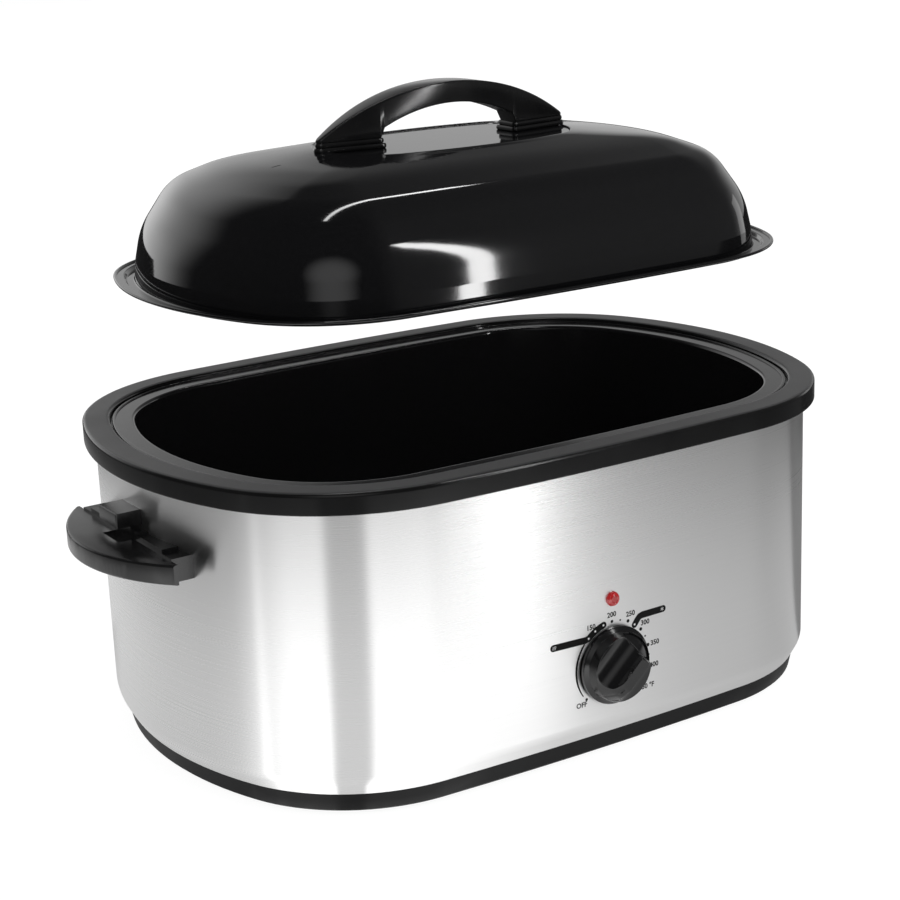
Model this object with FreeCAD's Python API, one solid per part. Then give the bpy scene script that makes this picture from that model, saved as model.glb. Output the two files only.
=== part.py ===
import FreeCAD, Part
import math
import os

# Electric roaster oven: a lift-off domed lid, a lift-out pan and rack, and a heated
# body with a thermostat. Millimetres, +Z up, floor at z = 0. Every shape is built
# about the body's own upright axis, and save() moves it back by BODY_BACK, so that
# the origin is the middle of the footprint with the knob counted in.

# ---------------------------------------------------------------- driving dimensions
HALF_LENGTH = 280.0        # collar, outside, along X
HALF_WIDTH = 200.7         # collar, outside, along Y
SIDE_RADIUS = 2890.0       # long sides, slightly bowed
END_RADIUS = 290.0         # short ends
CORNER_RADIUS = 140.0      # corners between them
COLLAR_TOP = 236.8
COLLAR_SKIRT = 15.4
SHELL_INSET = 8.4          # steel wrap, set in from the collar's outside
SHELL_THICK = 0.8
SHELL_TOP = 228.0
BAND_TOP = 17.8            # black band of the base tray
BAND_INSET = 14.6
BAND_FOOT = 2.8
BAND_FOOT_INSET = 18.0
TRAY_THICK = 2.2
LEDGE_DEPTH = 5.5          # recess inside the collar
SHEET = 1.0                # pressed steel of liner, pan and lid
LINER_FLOOR = 60.0
PAN_FLOOR = 71.0
PAN_MOUTH_INSET = 39.0
LID_INSET = 32.0           # lid flange, set in from the collar's outside
LID_LIFT = 107.5           # height of the lifted lid over its seat
LID_WALL_FOOT = 16.5       # dome wall, in from the lid flange's edge
CROWN_INSET = 83.0         # crown edge, in from the lid flange's edge
CROWN_EDGE_HEIGHT = 82.0
PLATEAU_RIM_HEIGHT = 89.0  # low lip round the flat plateau
PLATEAU_HEIGHT = 87.8
PAD_THICK = 3.6            # each of the two rings of a pad under a lid handle foot
CONTROL_X = 4.4            # knob and lamp, right of the middle
DIAL_HEIGHT = 71.3
LAMP_HEIGHT = 120.7
KNOB_RADIUS = 29.0
KNOB_DEPTH = 27.0
OFF_ANGLE = -131.5         # grip bar at OFF, clockwise from straight up
SHAFT_RADIUS = 3.0
RUNNING_GAP = 0.06
HANDLE_TOP = 179.0
HANDLE_THICK = 14.4
HANDLE_EDGE = 277.0        # straight inner edge of the side handles
HANDLE_REACH = 312.0       # outermost point of the side handles
HANDLE_ARC = 126.0         # radius of their outer edge
HANDLE_HALF = 83.5
FOOT_X = 170.0
FOOT_Y = 118.0
FOOT_RADIUS = 11.0
LAP_WIDTH = 14.0           # overlap of the steel wrap's two ends, at the back
RIVET_HEIGHTS = (45.0, 99.0, 153.0, 207.0)
HEATER_LOW = 96.0
HEATER_HIGH = 160.0
HEATER_THICK = 2.5
STRAP_THICK = 0.8
SHAFT_END = 16.0           # ends of the thermostat shaft, from the front wall
SHAFT_TAIL = -14.0
GLAND_X = 112.0
GLAND_HEIGHT = 48.0
LEAD_RADIUS = 1.2
LEAD_FLOOR = 11.5          # height of the leads over the floor, inside the tray
HANDLE_SCREW_Y = 34.0
HANDLE_SCREW_HEIGHT = 172.0
SLOT_INNER = 279.5         # slot in each side handle, from the middle
SLOT_OUTER = 289.0
HOOK_REACH = 290.0
HOOK_GAP = 10.0
HOOK_RISE = 21.0
RACK_INSET = 72.0
RACK_HEIGHT = PAN_FLOOR + SHEET + 12.0
RIM_WIDTH = 2.6            # strap that frames the rack
RIM_DEPTH = 4.4
CROSS_WIRE = 1.6
LOOP_RISE = 46.0
LOOP_HALF = 30.0
LID_SCREW_X = 84.0
ARCH_HEIGHT = 130.7        # top of the lid handle over the lid's seat
ARCH_HALF_LENGTH = 107.0
ARCH_HALF_WIDTH = 14.0
ARCH_TIP = 4.0             # radius of the arch's rounded tips, seen from above
FOOT_INNER = 59.0          # inner end of each of the arch's feet

SHELL_FRONT = HALF_WIDTH - SHELL_INSET
KNOB_FRONT = SHELL_FRONT + KNOB_DEPTH
BODY_BACK = (KNOB_FRONT - HALF_WIDTH) / 2.0
TRAY_FLOOR = BAND_FOOT + TRAY_THICK
PAN_RIM_TOP = COLLAR_TOP - LEDGE_DEPTH + 2 * SHEET
LID_SEAT = PAN_RIM_TOP
LID_REST = LID_SEAT + LID_LIFT
LOOP_X = HALF_LENGTH - RACK_INSET - RIM_WIDTH - 4.2
PAD_BASE = LID_REST + PLATEAU_HEIGHT
ARCH_BASE = PAD_BASE + 2 * PAD_THICK
ARCH_TOP = LID_REST + ARCH_HEIGHT


# ---------------------------------------------------------------- small helpers
def vec(x, y, z):
    return FreeCAD.Vector(x, y, z)


def save(node, shape):
    """Move a shape to the row's frame and write it as its own STEP file."""
    moved = shape.copy()
    moved.translate(vec(0, BODY_BACK, 0))
    moved.exportStep("parts/" + node + ".step")
    bounds = moved.BoundBox
    print(node, "valid", moved.isValid(), "solids", len(moved.Solids),
          "volume %.0f" % moved.Volume,
          "z %.1f to %.1f" % (bounds.ZMin, bounds.ZMax))


def fuse_all(shapes):
    """Join touching solids to one and drop the seams between them."""
    first = shapes[0]
    if len(shapes) == 1:
        return first
    return first.multiFuse(shapes[1:]).removeSplitter()


def box(x0, x1, y0, y1, z0, z1):
    return Part.makeBox(x1 - x0, y1 - y0, z1 - z0, vec(x0, y0, z0))


def upright(radius, x, y, z0, z1):
    return Part.makeCylinder(radius, z1 - z0, vec(x, y, z0), vec(0, 0, 1))


def rod(radius, start, end):
    run = end.sub(start)
    return Part.makeCylinder(radius, run.Length, start, run)


def four_ways(shape):
    """A shape and its three mirror images about the XZ and YZ planes."""
    across = shape.mirror(vec(0, 0, 0), vec(1, 0, 0))
    pair = [shape, across]
    return pair + [s.mirror(vec(0, 0, 0), vec(0, 1, 0)) for s in pair]


def rounded_path(corners):
    """Edges through (x, z, radius) corners in the XZ plane, each corner a tangent arc."""
    points = [vec(c[0], 0, c[1]) for c in corners]
    edges = []
    start = points[0]
    for i in range(1, len(corners) - 1):
        radius = corners[i][2]
        before = points[i - 1].sub(points[i]).normalize()
        after = points[i + 1].sub(points[i]).normalize()
        half = before.getAngle(after) / 2.0
        reach = radius / math.tan(half)
        first = points[i].add(before * reach)
        last = points[i].add(after * reach)
        if first.sub(start).Length > 1e-6:
            edges.append(Part.makeLine(start, first))
        if radius > 0:
            bisector = before.add(after).normalize()
            middle = points[i].add(bisector * (radius / math.sin(half) - radius))
            edges.append(Part.Arc(first, middle, last).toShape())
        start = last
    edges.append(Part.makeLine(start, points[-1]))
    return edges


def closed_profile(corners):
    """A face in the XZ plane with (inset, z, radius) corners; inset counts inwards."""
    loop = [(-c[0], c[1], c[2]) for c in corners]
    middle = ((loop[-1][0] + loop[0][0]) / 2.0, (loop[-1][1] + loop[0][1]) / 2.0, 0)
    return Part.Face(Part.Wire(rounded_path([middle] + loop + [middle])))


def sheet_profile(corners, thick):
    """Pressed sheet: a line of (inset, z, radius) corners, thickened to one side."""
    line = Part.Wire(rounded_path([(-c[0], c[1], c[2]) for c in corners]))
    other = Part.Wire(rounded_path([(-c[0], c[1], c[2]) for c in beside(corners, thick)]))
    ends = [Part.makeLine(line.OrderedVertexes[0].Point, other.OrderedVertexes[0].Point),
            Part.makeLine(line.OrderedVertexes[-1].Point, other.OrderedVertexes[-1].Point)]
    return Part.Face(Part.Wire(Part.__sortEdges__(line.Edges + other.Edges + ends)))


def beside(corners, thick):
    """The same line moved to its left by thick, with each corner's arc concentric."""
    moved = []
    count = len(corners)
    for i in range(count):
        x, z, radius = corners[i]
        normals = []
        turns = []
        for a, b in ((i - 1, i), (i, i + 1)):
            if a >= 0 and b < count:
                dx = corners[b][0] - corners[a][0]
                dz = corners[b][1] - corners[a][1]
                length = math.hypot(dx, dz)
                normals.append((-dz / length, dx / length))
                turns.append((dx / length, dz / length))
        nx = sum(n[0] for n in normals)
        nz = sum(n[1] for n in normals)
        scale = thick / (nx * normals[0][0] + nz * normals[0][1])
        new_radius = radius
        if len(turns) == 2 and radius > 0:
            left = turns[0][0] * turns[1][1] - turns[0][1] * turns[1][0]
            new_radius = radius - thick if left > 0 else radius + thick
        moved.append((x + nx * scale, z + nz * scale, new_radius))
    return moved


# ---------------------------------------------------------------- the oval plan
def oval_arcs(half_length, half_width, side_radius, end_radius, corner_radius):
    """Eight tangent arcs (centre x, centre y, radius, first angle, last angle)."""
    side_y = half_width - side_radius
    end_x = half_length - end_radius
    span = math.hypot(end_x, side_y)
    to_side = side_radius - corner_radius
    to_end = end_radius - corner_radius
    along = (to_side ** 2 - to_end ** 2 + span ** 2) / (2 * span)
    out = math.sqrt(to_side ** 2 - along ** 2)
    ux = end_x / span
    uy = -side_y / span
    corner_x = ux * along + uy * out
    corner_y = side_y + uy * along - ux * out
    side_angle = math.degrees(math.atan2(corner_y - side_y, corner_x))
    end_angle = math.degrees(math.atan2(corner_y, corner_x - end_x))
    return [
        (end_x, 0, end_radius, -end_angle, end_angle),
        (corner_x, corner_y, corner_radius, end_angle, side_angle),
        (0, side_y, side_radius, side_angle, 180 - side_angle),
        (-corner_x, corner_y, corner_radius, 180 - side_angle, 180 - end_angle),
        (-end_x, 0, end_radius, 180 - end_angle, 180 + end_angle),
        (-corner_x, -corner_y, corner_radius, 180 + end_angle, 180 + side_angle),
        (0, -side_y, side_radius, 180 + side_angle, 360 - side_angle),
        (corner_x, -corner_y, corner_radius, 360 - side_angle, 360 - end_angle),
    ]


BODY_OVAL = oval_arcs(HALF_LENGTH, HALF_WIDTH, SIDE_RADIUS, END_RADIUS, CORNER_RADIUS)
PLATEAU_OVAL = oval_arcs(102.0, 60.0, 330.0, 66.0, 40.0)


def on_arc(arc, inset, angle, z):
    x, y, radius = arc[0:3]
    turn = math.radians(angle)
    reach = radius - inset
    return vec(x + reach * math.cos(turn), y + reach * math.sin(turn), z)


def oval_wire(arcs, inset, z):
    """The oval drawn in by inset, at height z: its arcs stay concentric."""
    edges = []
    for arc in arcs:
        first, last = arc[3:5]
        points = [on_arc(arc, inset, a, z) for a in (first, (first + last) / 2.0, last)]
        edges.append(Part.Arc(*points).toShape())
    return Part.Wire(edges)


def oval_plate(arcs, inset, z0, z1):
    return Part.Face(oval_wire(arcs, inset, z0)).extrude(vec(0, 0, z1 - z0))


def oval_ring(arcs, profile):
    """Carry a profile (x = minus inset) round the oval by turning it about each arc."""
    pieces = []
    for x, y, radius, first, last in arcs:
        face = profile.copy()
        face.translate(vec(radius, 0, 0))
        face.rotate(vec(0, 0, 0), vec(0, 0, 1), first)
        face.translate(vec(x, y, 0))
        pieces.append(face.revolve(vec(x, y, 0), vec(0, 0, 1), last - first))
    return fuse_all(pieces)


def front_hole(radius, x, z):
    """A drill through the front wall, along Y."""
    return rod(radius, vec(x, -HALF_WIDTH, z), vec(x, -SHELL_FRONT + 12, z))


# ---------------------------------------------------------------- collar, shell, tray
def make_collar():
    """Rim with an outside skirt, a flat top and a ledge for liner and pan."""
    top = COLLAR_TOP
    wall = 2.4
    ledge_top = top - LEDGE_DEPTH
    profile = closed_profile([
        (0, top - COLLAR_SKIRT, 0),
        (0, top, 3.0),
        (20.5, top, 0),
        (20.5, ledge_top, 0),
        (29.5, ledge_top, 0),
        (29.5, ledge_top - wall, 0),
        (20.5 - wall, ledge_top - wall, 0),
        (20.5 - wall, top - wall, 0),
        (11.3, top - wall, 0),
        (11.3, SHELL_TOP, 0),
        (6.3, SHELL_TOP, 0),
        (6.3, top - wall, 0),
        (wall, top - wall, 0),
        (wall, top - COLLAR_SKIRT, 0),
    ])
    return oval_ring(BODY_OVAL, profile)


def make_shell():
    """Steel wrap: straight wall, foot curled in over the band, lapped at the back."""
    curl_inset = BAND_INSET + 0.4
    line = [(SHELL_INSET, SHELL_TOP, 0), (SHELL_INSET, 27.5, 14), (curl_inset, BAND_TOP, 0)]
    shell = oval_ring(BODY_OVAL, sheet_profile(line, SHELL_THICK))
    shell = shell.cut(front_hole(5.0, CONTROL_X, DIAL_HEIGHT))
    shell = shell.cut(front_hole(4.3, CONTROL_X, LAMP_HEIGHT))
    back = HALF_WIDTH - SHELL_INSET
    lap = box(-LAP_WIDTH / 2, LAP_WIDTH / 2, back - 0.4, back + SHELL_THICK, 30, 219)
    shell = fuse_all([shell, lap])
    shell = shell.cut(rod(8.0, vec(GLAND_X, back - 12, GLAND_HEIGHT),
                          vec(GLAND_X, back + 12, GLAND_HEIGHT)))
    for z in RIVET_HEIGHTS:
        shell = shell.cut(rod(1.6, vec(0, back - 5, z), vec(0, back + 5, z)))
    for side in (-1, 1):
        for y in (-HANDLE_SCREW_Y, HANDLE_SCREW_Y):
            start = vec(side * (HALF_LENGTH - 40), y, HANDLE_SCREW_HEIGHT)
            end = vec(side * HALF_LENGTH, y, HANDLE_SCREW_HEIGHT)
            shell = shell.cut(rod(2.3, start, end))
    return shell


def make_rivets():
    """Blind rivets through the wrap's lap: a domed head outside, a swelled tail inside."""
    rivets = []
    face = HALF_WIDTH - SHELL_INSET + SHELL_THICK
    for z in RIVET_HEIGHTS:
        head = turned([(2.9, 0.0, 0), (2.9, 0.4, 0), (1.6, 1.2, 0.6), (0.8, 1.2, 0)])
        shank = Part.makeCylinder(1.5, 4.6, vec(0, 0, -4.6))
        tail = Part.makeCylinder(2.1, 2.4, vec(0, 0, -4.6))
        rivet = fuse_all([head, shank, tail])
        rivet.rotate(vec(0, 0, 0), vec(1, 0, 0), -90)
        rivet.translate(vec(0, face, z))
        rivets.append(rivet)
    return Part.makeCompound(rivets)


def make_tray():
    """Bottom plate with the black band round it, foot bosses and cooling slots."""
    plate_top = TRAY_FLOOR
    inner = BAND_INSET + 2.8
    profile = closed_profile([
        (BAND_INSET, BAND_TOP, 0),
        (BAND_FOOT_INSET - 0.6, BAND_FOOT + 1.8, 0),
        (BAND_FOOT_INSET + 1.4, BAND_FOOT, 0),
        (40, BAND_FOOT, 0),
        (40, plate_top, 0),
        (BAND_FOOT_INSET + 3.0, plate_top, 0),
        (inner, BAND_TOP, 0),
    ])
    tray = fuse_all([oval_ring(BODY_OVAL, profile),
                     oval_plate(BODY_OVAL, 40, BAND_FOOT, plate_top)])
    bosses = four_ways(upright(8.0, FOOT_X, FOOT_Y, plate_top, plate_top + 6))
    tray = fuse_all([tray] + bosses)
    slots = []
    for column in range(-3, 4):
        for row in (-62, 62):
            slots.append(slot_bar(column * 30, row, 5.0, 44.0, 0, plate_top + 1))
    drills = four_ways(upright(1.7, FOOT_X, FOOT_Y, 0, plate_top + 5))
    drills.append(upright(2.8, 0, 0, 0, plate_top + 1))
    return tray.cut(Part.makeCompound(slots + drills))


def slot_bar(x, y, width, length, z0, z1):
    """An upright bar with round ends, long along Y: the shape of a slot."""
    straight = length / 2.0 - width / 2.0
    middle = box(x - width / 2.0, x + width / 2.0, y - straight, y + straight, z0, z1)
    ends = [upright(width / 2.0, x, y + s * straight, z0, z1) for s in (-1, 1)]
    return fuse_all([middle] + ends)


def make_feet():
    foot = upright(FOOT_RADIUS, FOOT_X, FOOT_Y, 0, BAND_FOOT)
    foot = foot.cut(upright(4.3, FOOT_X, FOOT_Y, 0, 1.8))
    foot = foot.cut(upright(1.9, FOOT_X, FOOT_Y, 0, BAND_FOOT))
    return Part.makeCompound(four_ways(foot))


def make_foot_screws():
    head = upright(3.8, FOOT_X, FOOT_Y, 0.6, 1.8)
    shank = upright(1.7, FOOT_X, FOOT_Y, 1.8, TRAY_FLOOR + 4.5)
    return Part.makeCompound(four_ways(fuse_all([head, shank])))


# ---------------------------------------------------------------- liner and heat
LINER_LINE = [(22.0, COLLAR_TOP - LEDGE_DEPTH, 0), (32.0, COLLAR_TOP - LEDGE_DEPTH, 0),
              (44.5, LINER_FLOOR, 15.0), (64.0, LINER_FLOOR, 0)]


def liner_face(z):
    """Inset of the liner's outer face at height z, on its straight slope."""
    top = LINER_LINE[1]
    foot = LINER_LINE[2]
    return top[0] + (foot[0] - top[0]) * (top[1] - z) / (top[1] - foot[1])


def make_liner():
    """Drawn well: flange on the collar's ledge, tapered wall, flat floor."""
    ring = oval_ring(BODY_OVAL, sheet_profile(LINER_LINE, SHEET))
    floor = oval_plate(BODY_OVAL, 64.0, LINER_FLOOR, LINER_FLOOR + SHEET)
    return fuse_all([ring, floor])


def jacket(gap, thick, z0, z1):
    """A layer of constant thickness that lies round the liner between two heights."""
    inner0 = liner_face(z0) - gap
    inner1 = liner_face(z1) - gap
    return oval_ring(BODY_OVAL, closed_profile([
        (inner0, z0, 0), (inner1, z1, 0), (inner1 - thick, z1, 0), (inner0 - thick, z0, 0)]))


def back_gap(half):
    """The gap between a band's two ends, at the back."""
    return box(-half, half, 100, HALF_WIDTH, 0, COLLAR_TOP)


def make_heating_band():
    return jacket(0.1, HEATER_THICK, HEATER_LOW, HEATER_HIGH).cut(back_gap(9))


def make_band_straps():
    """Two thin steel straps over the heating band, each with a clamp screw at the back."""
    straps = []
    for low in (HEATER_LOW + 10, HEATER_HIGH - 20):
        strap = jacket(HEATER_THICK + 0.2, STRAP_THICK, low, low + 10).cut(back_gap(7))
        face = HALF_WIDTH - liner_face(low + 5) + HEATER_THICK + 0.2
        ears = [box(s * 7 - 0.6, s * 7 + 0.6, face - 0.5, face + 9, low, low + 10)
                for s in (-1, 1)]
        screw = rod(1.6, vec(-11, face + 5, low + 5), vec(11, face + 5, low + 5))
        straps.append(fuse_all([strap] + ears + [screw]))
    return Part.makeCompound(straps)


def make_heater_terminals():
    """Two blades on ceramic beads at the ends of the heating band."""
    face = HALF_WIDTH - liner_face(132) + HEATER_THICK + 0.2
    blades = []
    for side in (-1, 1):
        x = side * 16
        bead = rod(4.0, vec(x, face + 0.1, 128), vec(x, face + 5, 128))
        blade = box(x - 3.2, x + 3.2, face + 5, face + 13, 127.6, 128.4)
        blades.append(fuse_all([bead, blade]))
    return Part.makeCompound(blades)


def make_insulation():
    """Glass-fibre blanket round the heating band, open at the back for the terminals."""
    return jacket(5.0, 8.0, 90, 176).cut(back_gap(26))


# ---------------------------------------------------------------- controls
def to_front(shape):
    """Stand a shape turned about Z upright on the front wall, at the dial's middle."""
    placed = shape.copy()
    placed.rotate(vec(0, 0, 0), vec(1, 0, 0), 90)
    placed.translate(vec(CONTROL_X, -SHELL_FRONT, DIAL_HEIGHT))
    return placed


def turned(corners):
    """A solid of revolution about Z from (radius, height, rounding) corners."""
    path = rounded_path([(0, corners[0][1], 0)] + corners + [(0, corners[-1][1], 0)])
    axis = Part.makeLine(path[-1].Vertexes[-1].Point, path[0].Vertexes[0].Point)
    face = Part.Face(Part.Wire(path + [axis]))
    return face.revolve(vec(0, 0, 0), vec(0, 0, 1), 360)


def make_knob():
    """Skirted knob: a dome scooped out on both sides of a grip bar, hollow behind."""
    body = turned([(KNOB_RADIUS, 1.2, 0), (KNOB_RADIUS, 4.0, 0), (26.0, 6.0, 0),
                   (23.0, KNOB_DEPTH - 6, 4.0), (14.0, KNOB_DEPTH, 8.0), (3.0, KNOB_DEPTH, 0)])
    scoop_radius = 16.0
    bar_half = 4.6
    for side in (-1, 1):
        middle = side * (bar_half + scoop_radius)
        scoop = rod(scoop_radius, vec(middle, -40, 29), vec(middle, 40, 29))
        body = body.cut(scoop)
    hollow = turned([(24.0, 0, 0), (23.0, 6.0, 0), (19.0, 10.8, 0), (8.0, 10.8, 0)])
    hub = Part.makeCylinder(6.2, 10, vec(0, 0, 4.2))
    ribs = []
    for turn in (0, 90):
        rib = box(-22.5, 22.5, -0.8, 0.8, 6.5, 11)
        rib.rotate(vec(0, 0, 0), vec(0, 0, 1), turn)
        ribs.append(rib)
    body = fuse_all([body.cut(hollow), hub] + ribs)
    bore = shaft_form(SHAFT_RADIUS, 0, SHAFT_END)
    pocket = box(-1.9, 1.9, SHAFT_RADIUS - 1.0, SHAFT_RADIUS - 0.4, 4.2, SHAFT_END)
    groove = box(-0.7, 0.7, 13, 30, KNOB_DEPTH - 0.8, KNOB_DEPTH + 2)
    body = body.cut(bore).cut(pocket).cut(groove)
    body.rotate(vec(0, 0, 0), vec(0, 0, 1), -OFF_ANGLE)
    return to_front(body)


def shaft_form(radius, low, high):
    """Shaft with a flat on its last 9 mm."""
    whole = Part.makeCylinder(radius, high - low, vec(0, 0, low))
    flat = box(-radius, radius, radius - 1.0, radius + 1.0, SHAFT_END - 9, high + 1)
    return whole.cut(flat)


def make_shaft():
    shaft = shaft_form(SHAFT_RADIUS, SHAFT_TAIL, SHAFT_END)
    shaft.rotate(vec(0, 0, 0), vec(0, 0, 1), -OFF_ANGLE)
    return to_front(shaft)


def make_thermostat():
    """Moulded switch block with a threaded bushing that comes through the wall."""
    block = box(-17, 17, -13, 13, -19, -3.2)
    collar = Part.makeCylinder(7.5, 2.2, vec(0, 0, -3.2))
    bushing = Part.makeCylinder(4.7, 4.0, vec(0, 0, -1.0))
    tabs = box(-24, 24, -3.2, 3.2, -14.4, -13.6)
    body = fuse_all([block, collar, bushing, tabs])
    bore = Part.makeCylinder(SHAFT_RADIUS + RUNNING_GAP, 40, vec(0, 0, SHAFT_TAIL - 0.5))
    return to_front(body.cut(bore))


def make_thermostat_nut():
    points = [vec(8.0 * math.cos(math.radians(60 * k)),
                  8.0 * math.sin(math.radians(60 * k)), 0.2) for k in range(7)]
    nut = Part.Face(Part.makePolygon(points)).extrude(vec(0, 0, 2.2))
    return to_front(nut.cut(Part.makeCylinder(4.75, 10, vec(0, 0, -1))))


def make_sensor_plate():
    """Blade spring from the thermostat's back to the liner's wall."""
    back = SHELL_FRONT - 19.0
    touch = HALF_WIDTH - liner_face(DIAL_HEIGHT + 8) + 0.3
    foot = box(CONTROL_X - 8, CONTROL_X + 8, -back, -back + 0.8, DIAL_HEIGHT - 10, DIAL_HEIGHT + 10)
    arm = box(CONTROL_X - 5, CONTROL_X + 5, -back, -touch, DIAL_HEIGHT + 9.2, DIAL_HEIGHT + 10)
    pad = box(CONTROL_X - 5, CONTROL_X + 5, -touch - 0.8, -touch, DIAL_HEIGHT + 3, DIAL_HEIGHT + 10)
    return fuse_all([foot, arm, pad])


def make_knob_clip():
    """Leaf spring on the flat of the shaft, inside the knob's hub."""
    leaf = box(-1.8, 1.8, SHAFT_RADIUS - 0.95, SHAFT_RADIUS - 0.5, 8.2, 15.5)
    leaf.rotate(vec(0, 0, 0), vec(0, 0, 1), -OFF_ANGLE)
    return to_front(leaf)


def lamp_place(shape):
    placed = shape.copy()
    placed.rotate(vec(0, 0, 0), vec(1, 0, 0), 90)
    placed.translate(vec(CONTROL_X, -SHELL_FRONT, LAMP_HEIGHT))
    return placed


def make_lens():
    """Red lens: a low dome outside the wall and a hollow stem through it."""
    head = turned([(5.4, 0.0, 0), (5.4, 1.2, 0.5), (3.0, 3.4, 1.5), (0.6, 3.4, 0)])
    stem = Part.makeCylinder(4.1, 12, vec(0, 0, -12))
    hollow = Part.makeCylinder(3.0, 12, vec(0, 0, -12))
    return lamp_place(fuse_all([head, stem]).cut(hollow))


def make_lamp():
    bulb = turned([(2.6, -14.0, 0), (2.6, -3.0, 1.2), (0.5, -1.0, 0)])
    return lamp_place(bulb)


def make_lens_clip():
    """Push-on ring that holds the lens from behind."""
    ring = Part.makeCylinder(6.6, 0.8, vec(0, 0, -1.7))
    return lamp_place(ring.cut(Part.makeCylinder(4.15, 2, vec(0, 0, -2.2))))


# ---------------------------------------------------------------- wiring pieces
def back_wall(x, inset):
    """Y of the back wall at x, set in from the collar's outside."""
    radius = SIDE_RADIUS - inset
    return HALF_WIDTH - SIDE_RADIUS + math.sqrt(radius ** 2 - x ** 2)


def make_gland():
    """Bushing in the back wall that a supply cord would pass."""
    wall = back_wall(GLAND_X, SHELL_INSET)
    body = fuse_all([
        rod(11.0, vec(GLAND_X, wall + 0.4, GLAND_HEIGHT), vec(GLAND_X, wall + 4, GLAND_HEIGHT)),
        rod(7.8, vec(GLAND_X, wall - 4, GLAND_HEIGHT), vec(GLAND_X, wall + 1, GLAND_HEIGHT)),
        rod(9.5, vec(GLAND_X, wall - 7, GLAND_HEIGHT), vec(GLAND_X, wall - 3, GLAND_HEIGHT)),
    ])
    return body.cut(rod(3.8, vec(GLAND_X, wall - 10, GLAND_HEIGHT),
                        vec(GLAND_X, wall + 10, GLAND_HEIGHT)))


def make_terminal_block():
    block = box(88, 124, 112, 130, TRAY_FLOOR, TRAY_FLOOR + 13)
    wells = [upright(2.6, 95 + 11 * k, 121, TRAY_FLOOR + 6, TRAY_FLOOR + 14) for k in range(3)]
    return block.cut(Part.makeCompound(wells))


def lead(points):
    """A sleeved wire through the given points."""
    corners = [vec(*p) for p in points]
    pieces = [rod(LEAD_RADIUS, a, b) for a, b in zip(corners, corners[1:])]
    pieces += [Part.makeSphere(LEAD_RADIUS, p) for p in corners[1:-1]]
    return fuse_all(pieces)


def make_leads():
    """Leads: block to heater, block to thermostat, thermostat to heater."""
    front = -SHELL_FRONT + 14.0
    blade_y = HALF_WIDTH - liner_face(132) + HEATER_THICK + 9.2
    blade_z = 127.4
    tab_z = DIAL_HEIGHT - 3.4
    return Part.makeCompound([
        lead([(95, 130.2, LEAD_FLOOR), (95, blade_y, LEAD_FLOOR), (16, blade_y, 40),
              (16, blade_y, blade_z)]),
        lead([(106, 111.8, LEAD_FLOOR), (106, -150, LEAD_FLOOR), (25, front, LEAD_FLOOR),
              (25, front, tab_z)]),
        lead([(-16, front, tab_z), (-16, front, 25), (-70, -100, LEAD_FLOOR),
              (-70, 120, LEAD_FLOOR), (-16, blade_y, 40), (-16, blade_y, blade_z)]),
    ])


def make_thermal_fuse():
    """Fuse barrel in a clip under the liner's floor."""
    top = LINER_FLOOR
    clip = box(-96, -60, -24, -12, top - 1.0, top)
    barrel = rod(3.2, vec(-92, -18, top - 3.9), vec(-64, -18, top - 3.9))
    return fuse_all([clip, barrel])


def make_tie_strap():
    """Hat-section strap under the liner that the tie bolt pulls on."""
    top = LINER_FLOOR
    flanges = [box(-12, 12, s * 60 - 14, s * 60 + 14, top - 1.6, top) for s in (-1, 1)]
    legs = [box(-12, 12, s * 46 - 0.8, s * 46 + 0.8, top - 12, top) for s in (-1, 1)]
    web = box(-12, 12, -46.8, 46.8, top - 13.6, top - 12)
    strap = fuse_all(flanges + legs + [web])
    return strap.cut(upright(2.8, 0, 0, 0, top - 5))


def make_tie_bolt():
    web_top = LINER_FLOOR - 12
    head = upright(4.6, 0, 0, web_top, web_top + 3.2)
    shank = upright(2.5, 0, 0, 0.6, web_top)
    nut = upright(5.0, 0, 0, 0.8, BAND_FOOT)
    return fuse_all([head, shank, nut])


# ---------------------------------------------------------------- side handles
def handle_plan(margin, z0, z1):
    """D-shaped block of the grip: straight inner edge, blunt tips, arched outer edge."""
    disc = upright(HANDLE_ARC - margin, HANDLE_ARC - HANDLE_REACH, 0, z0, z1)
    half = HANDLE_HALF - margin
    return disc.common(box(-HANDLE_REACH - 9, -HANDLE_EDGE - margin, -half, half, z0, z1))


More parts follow.
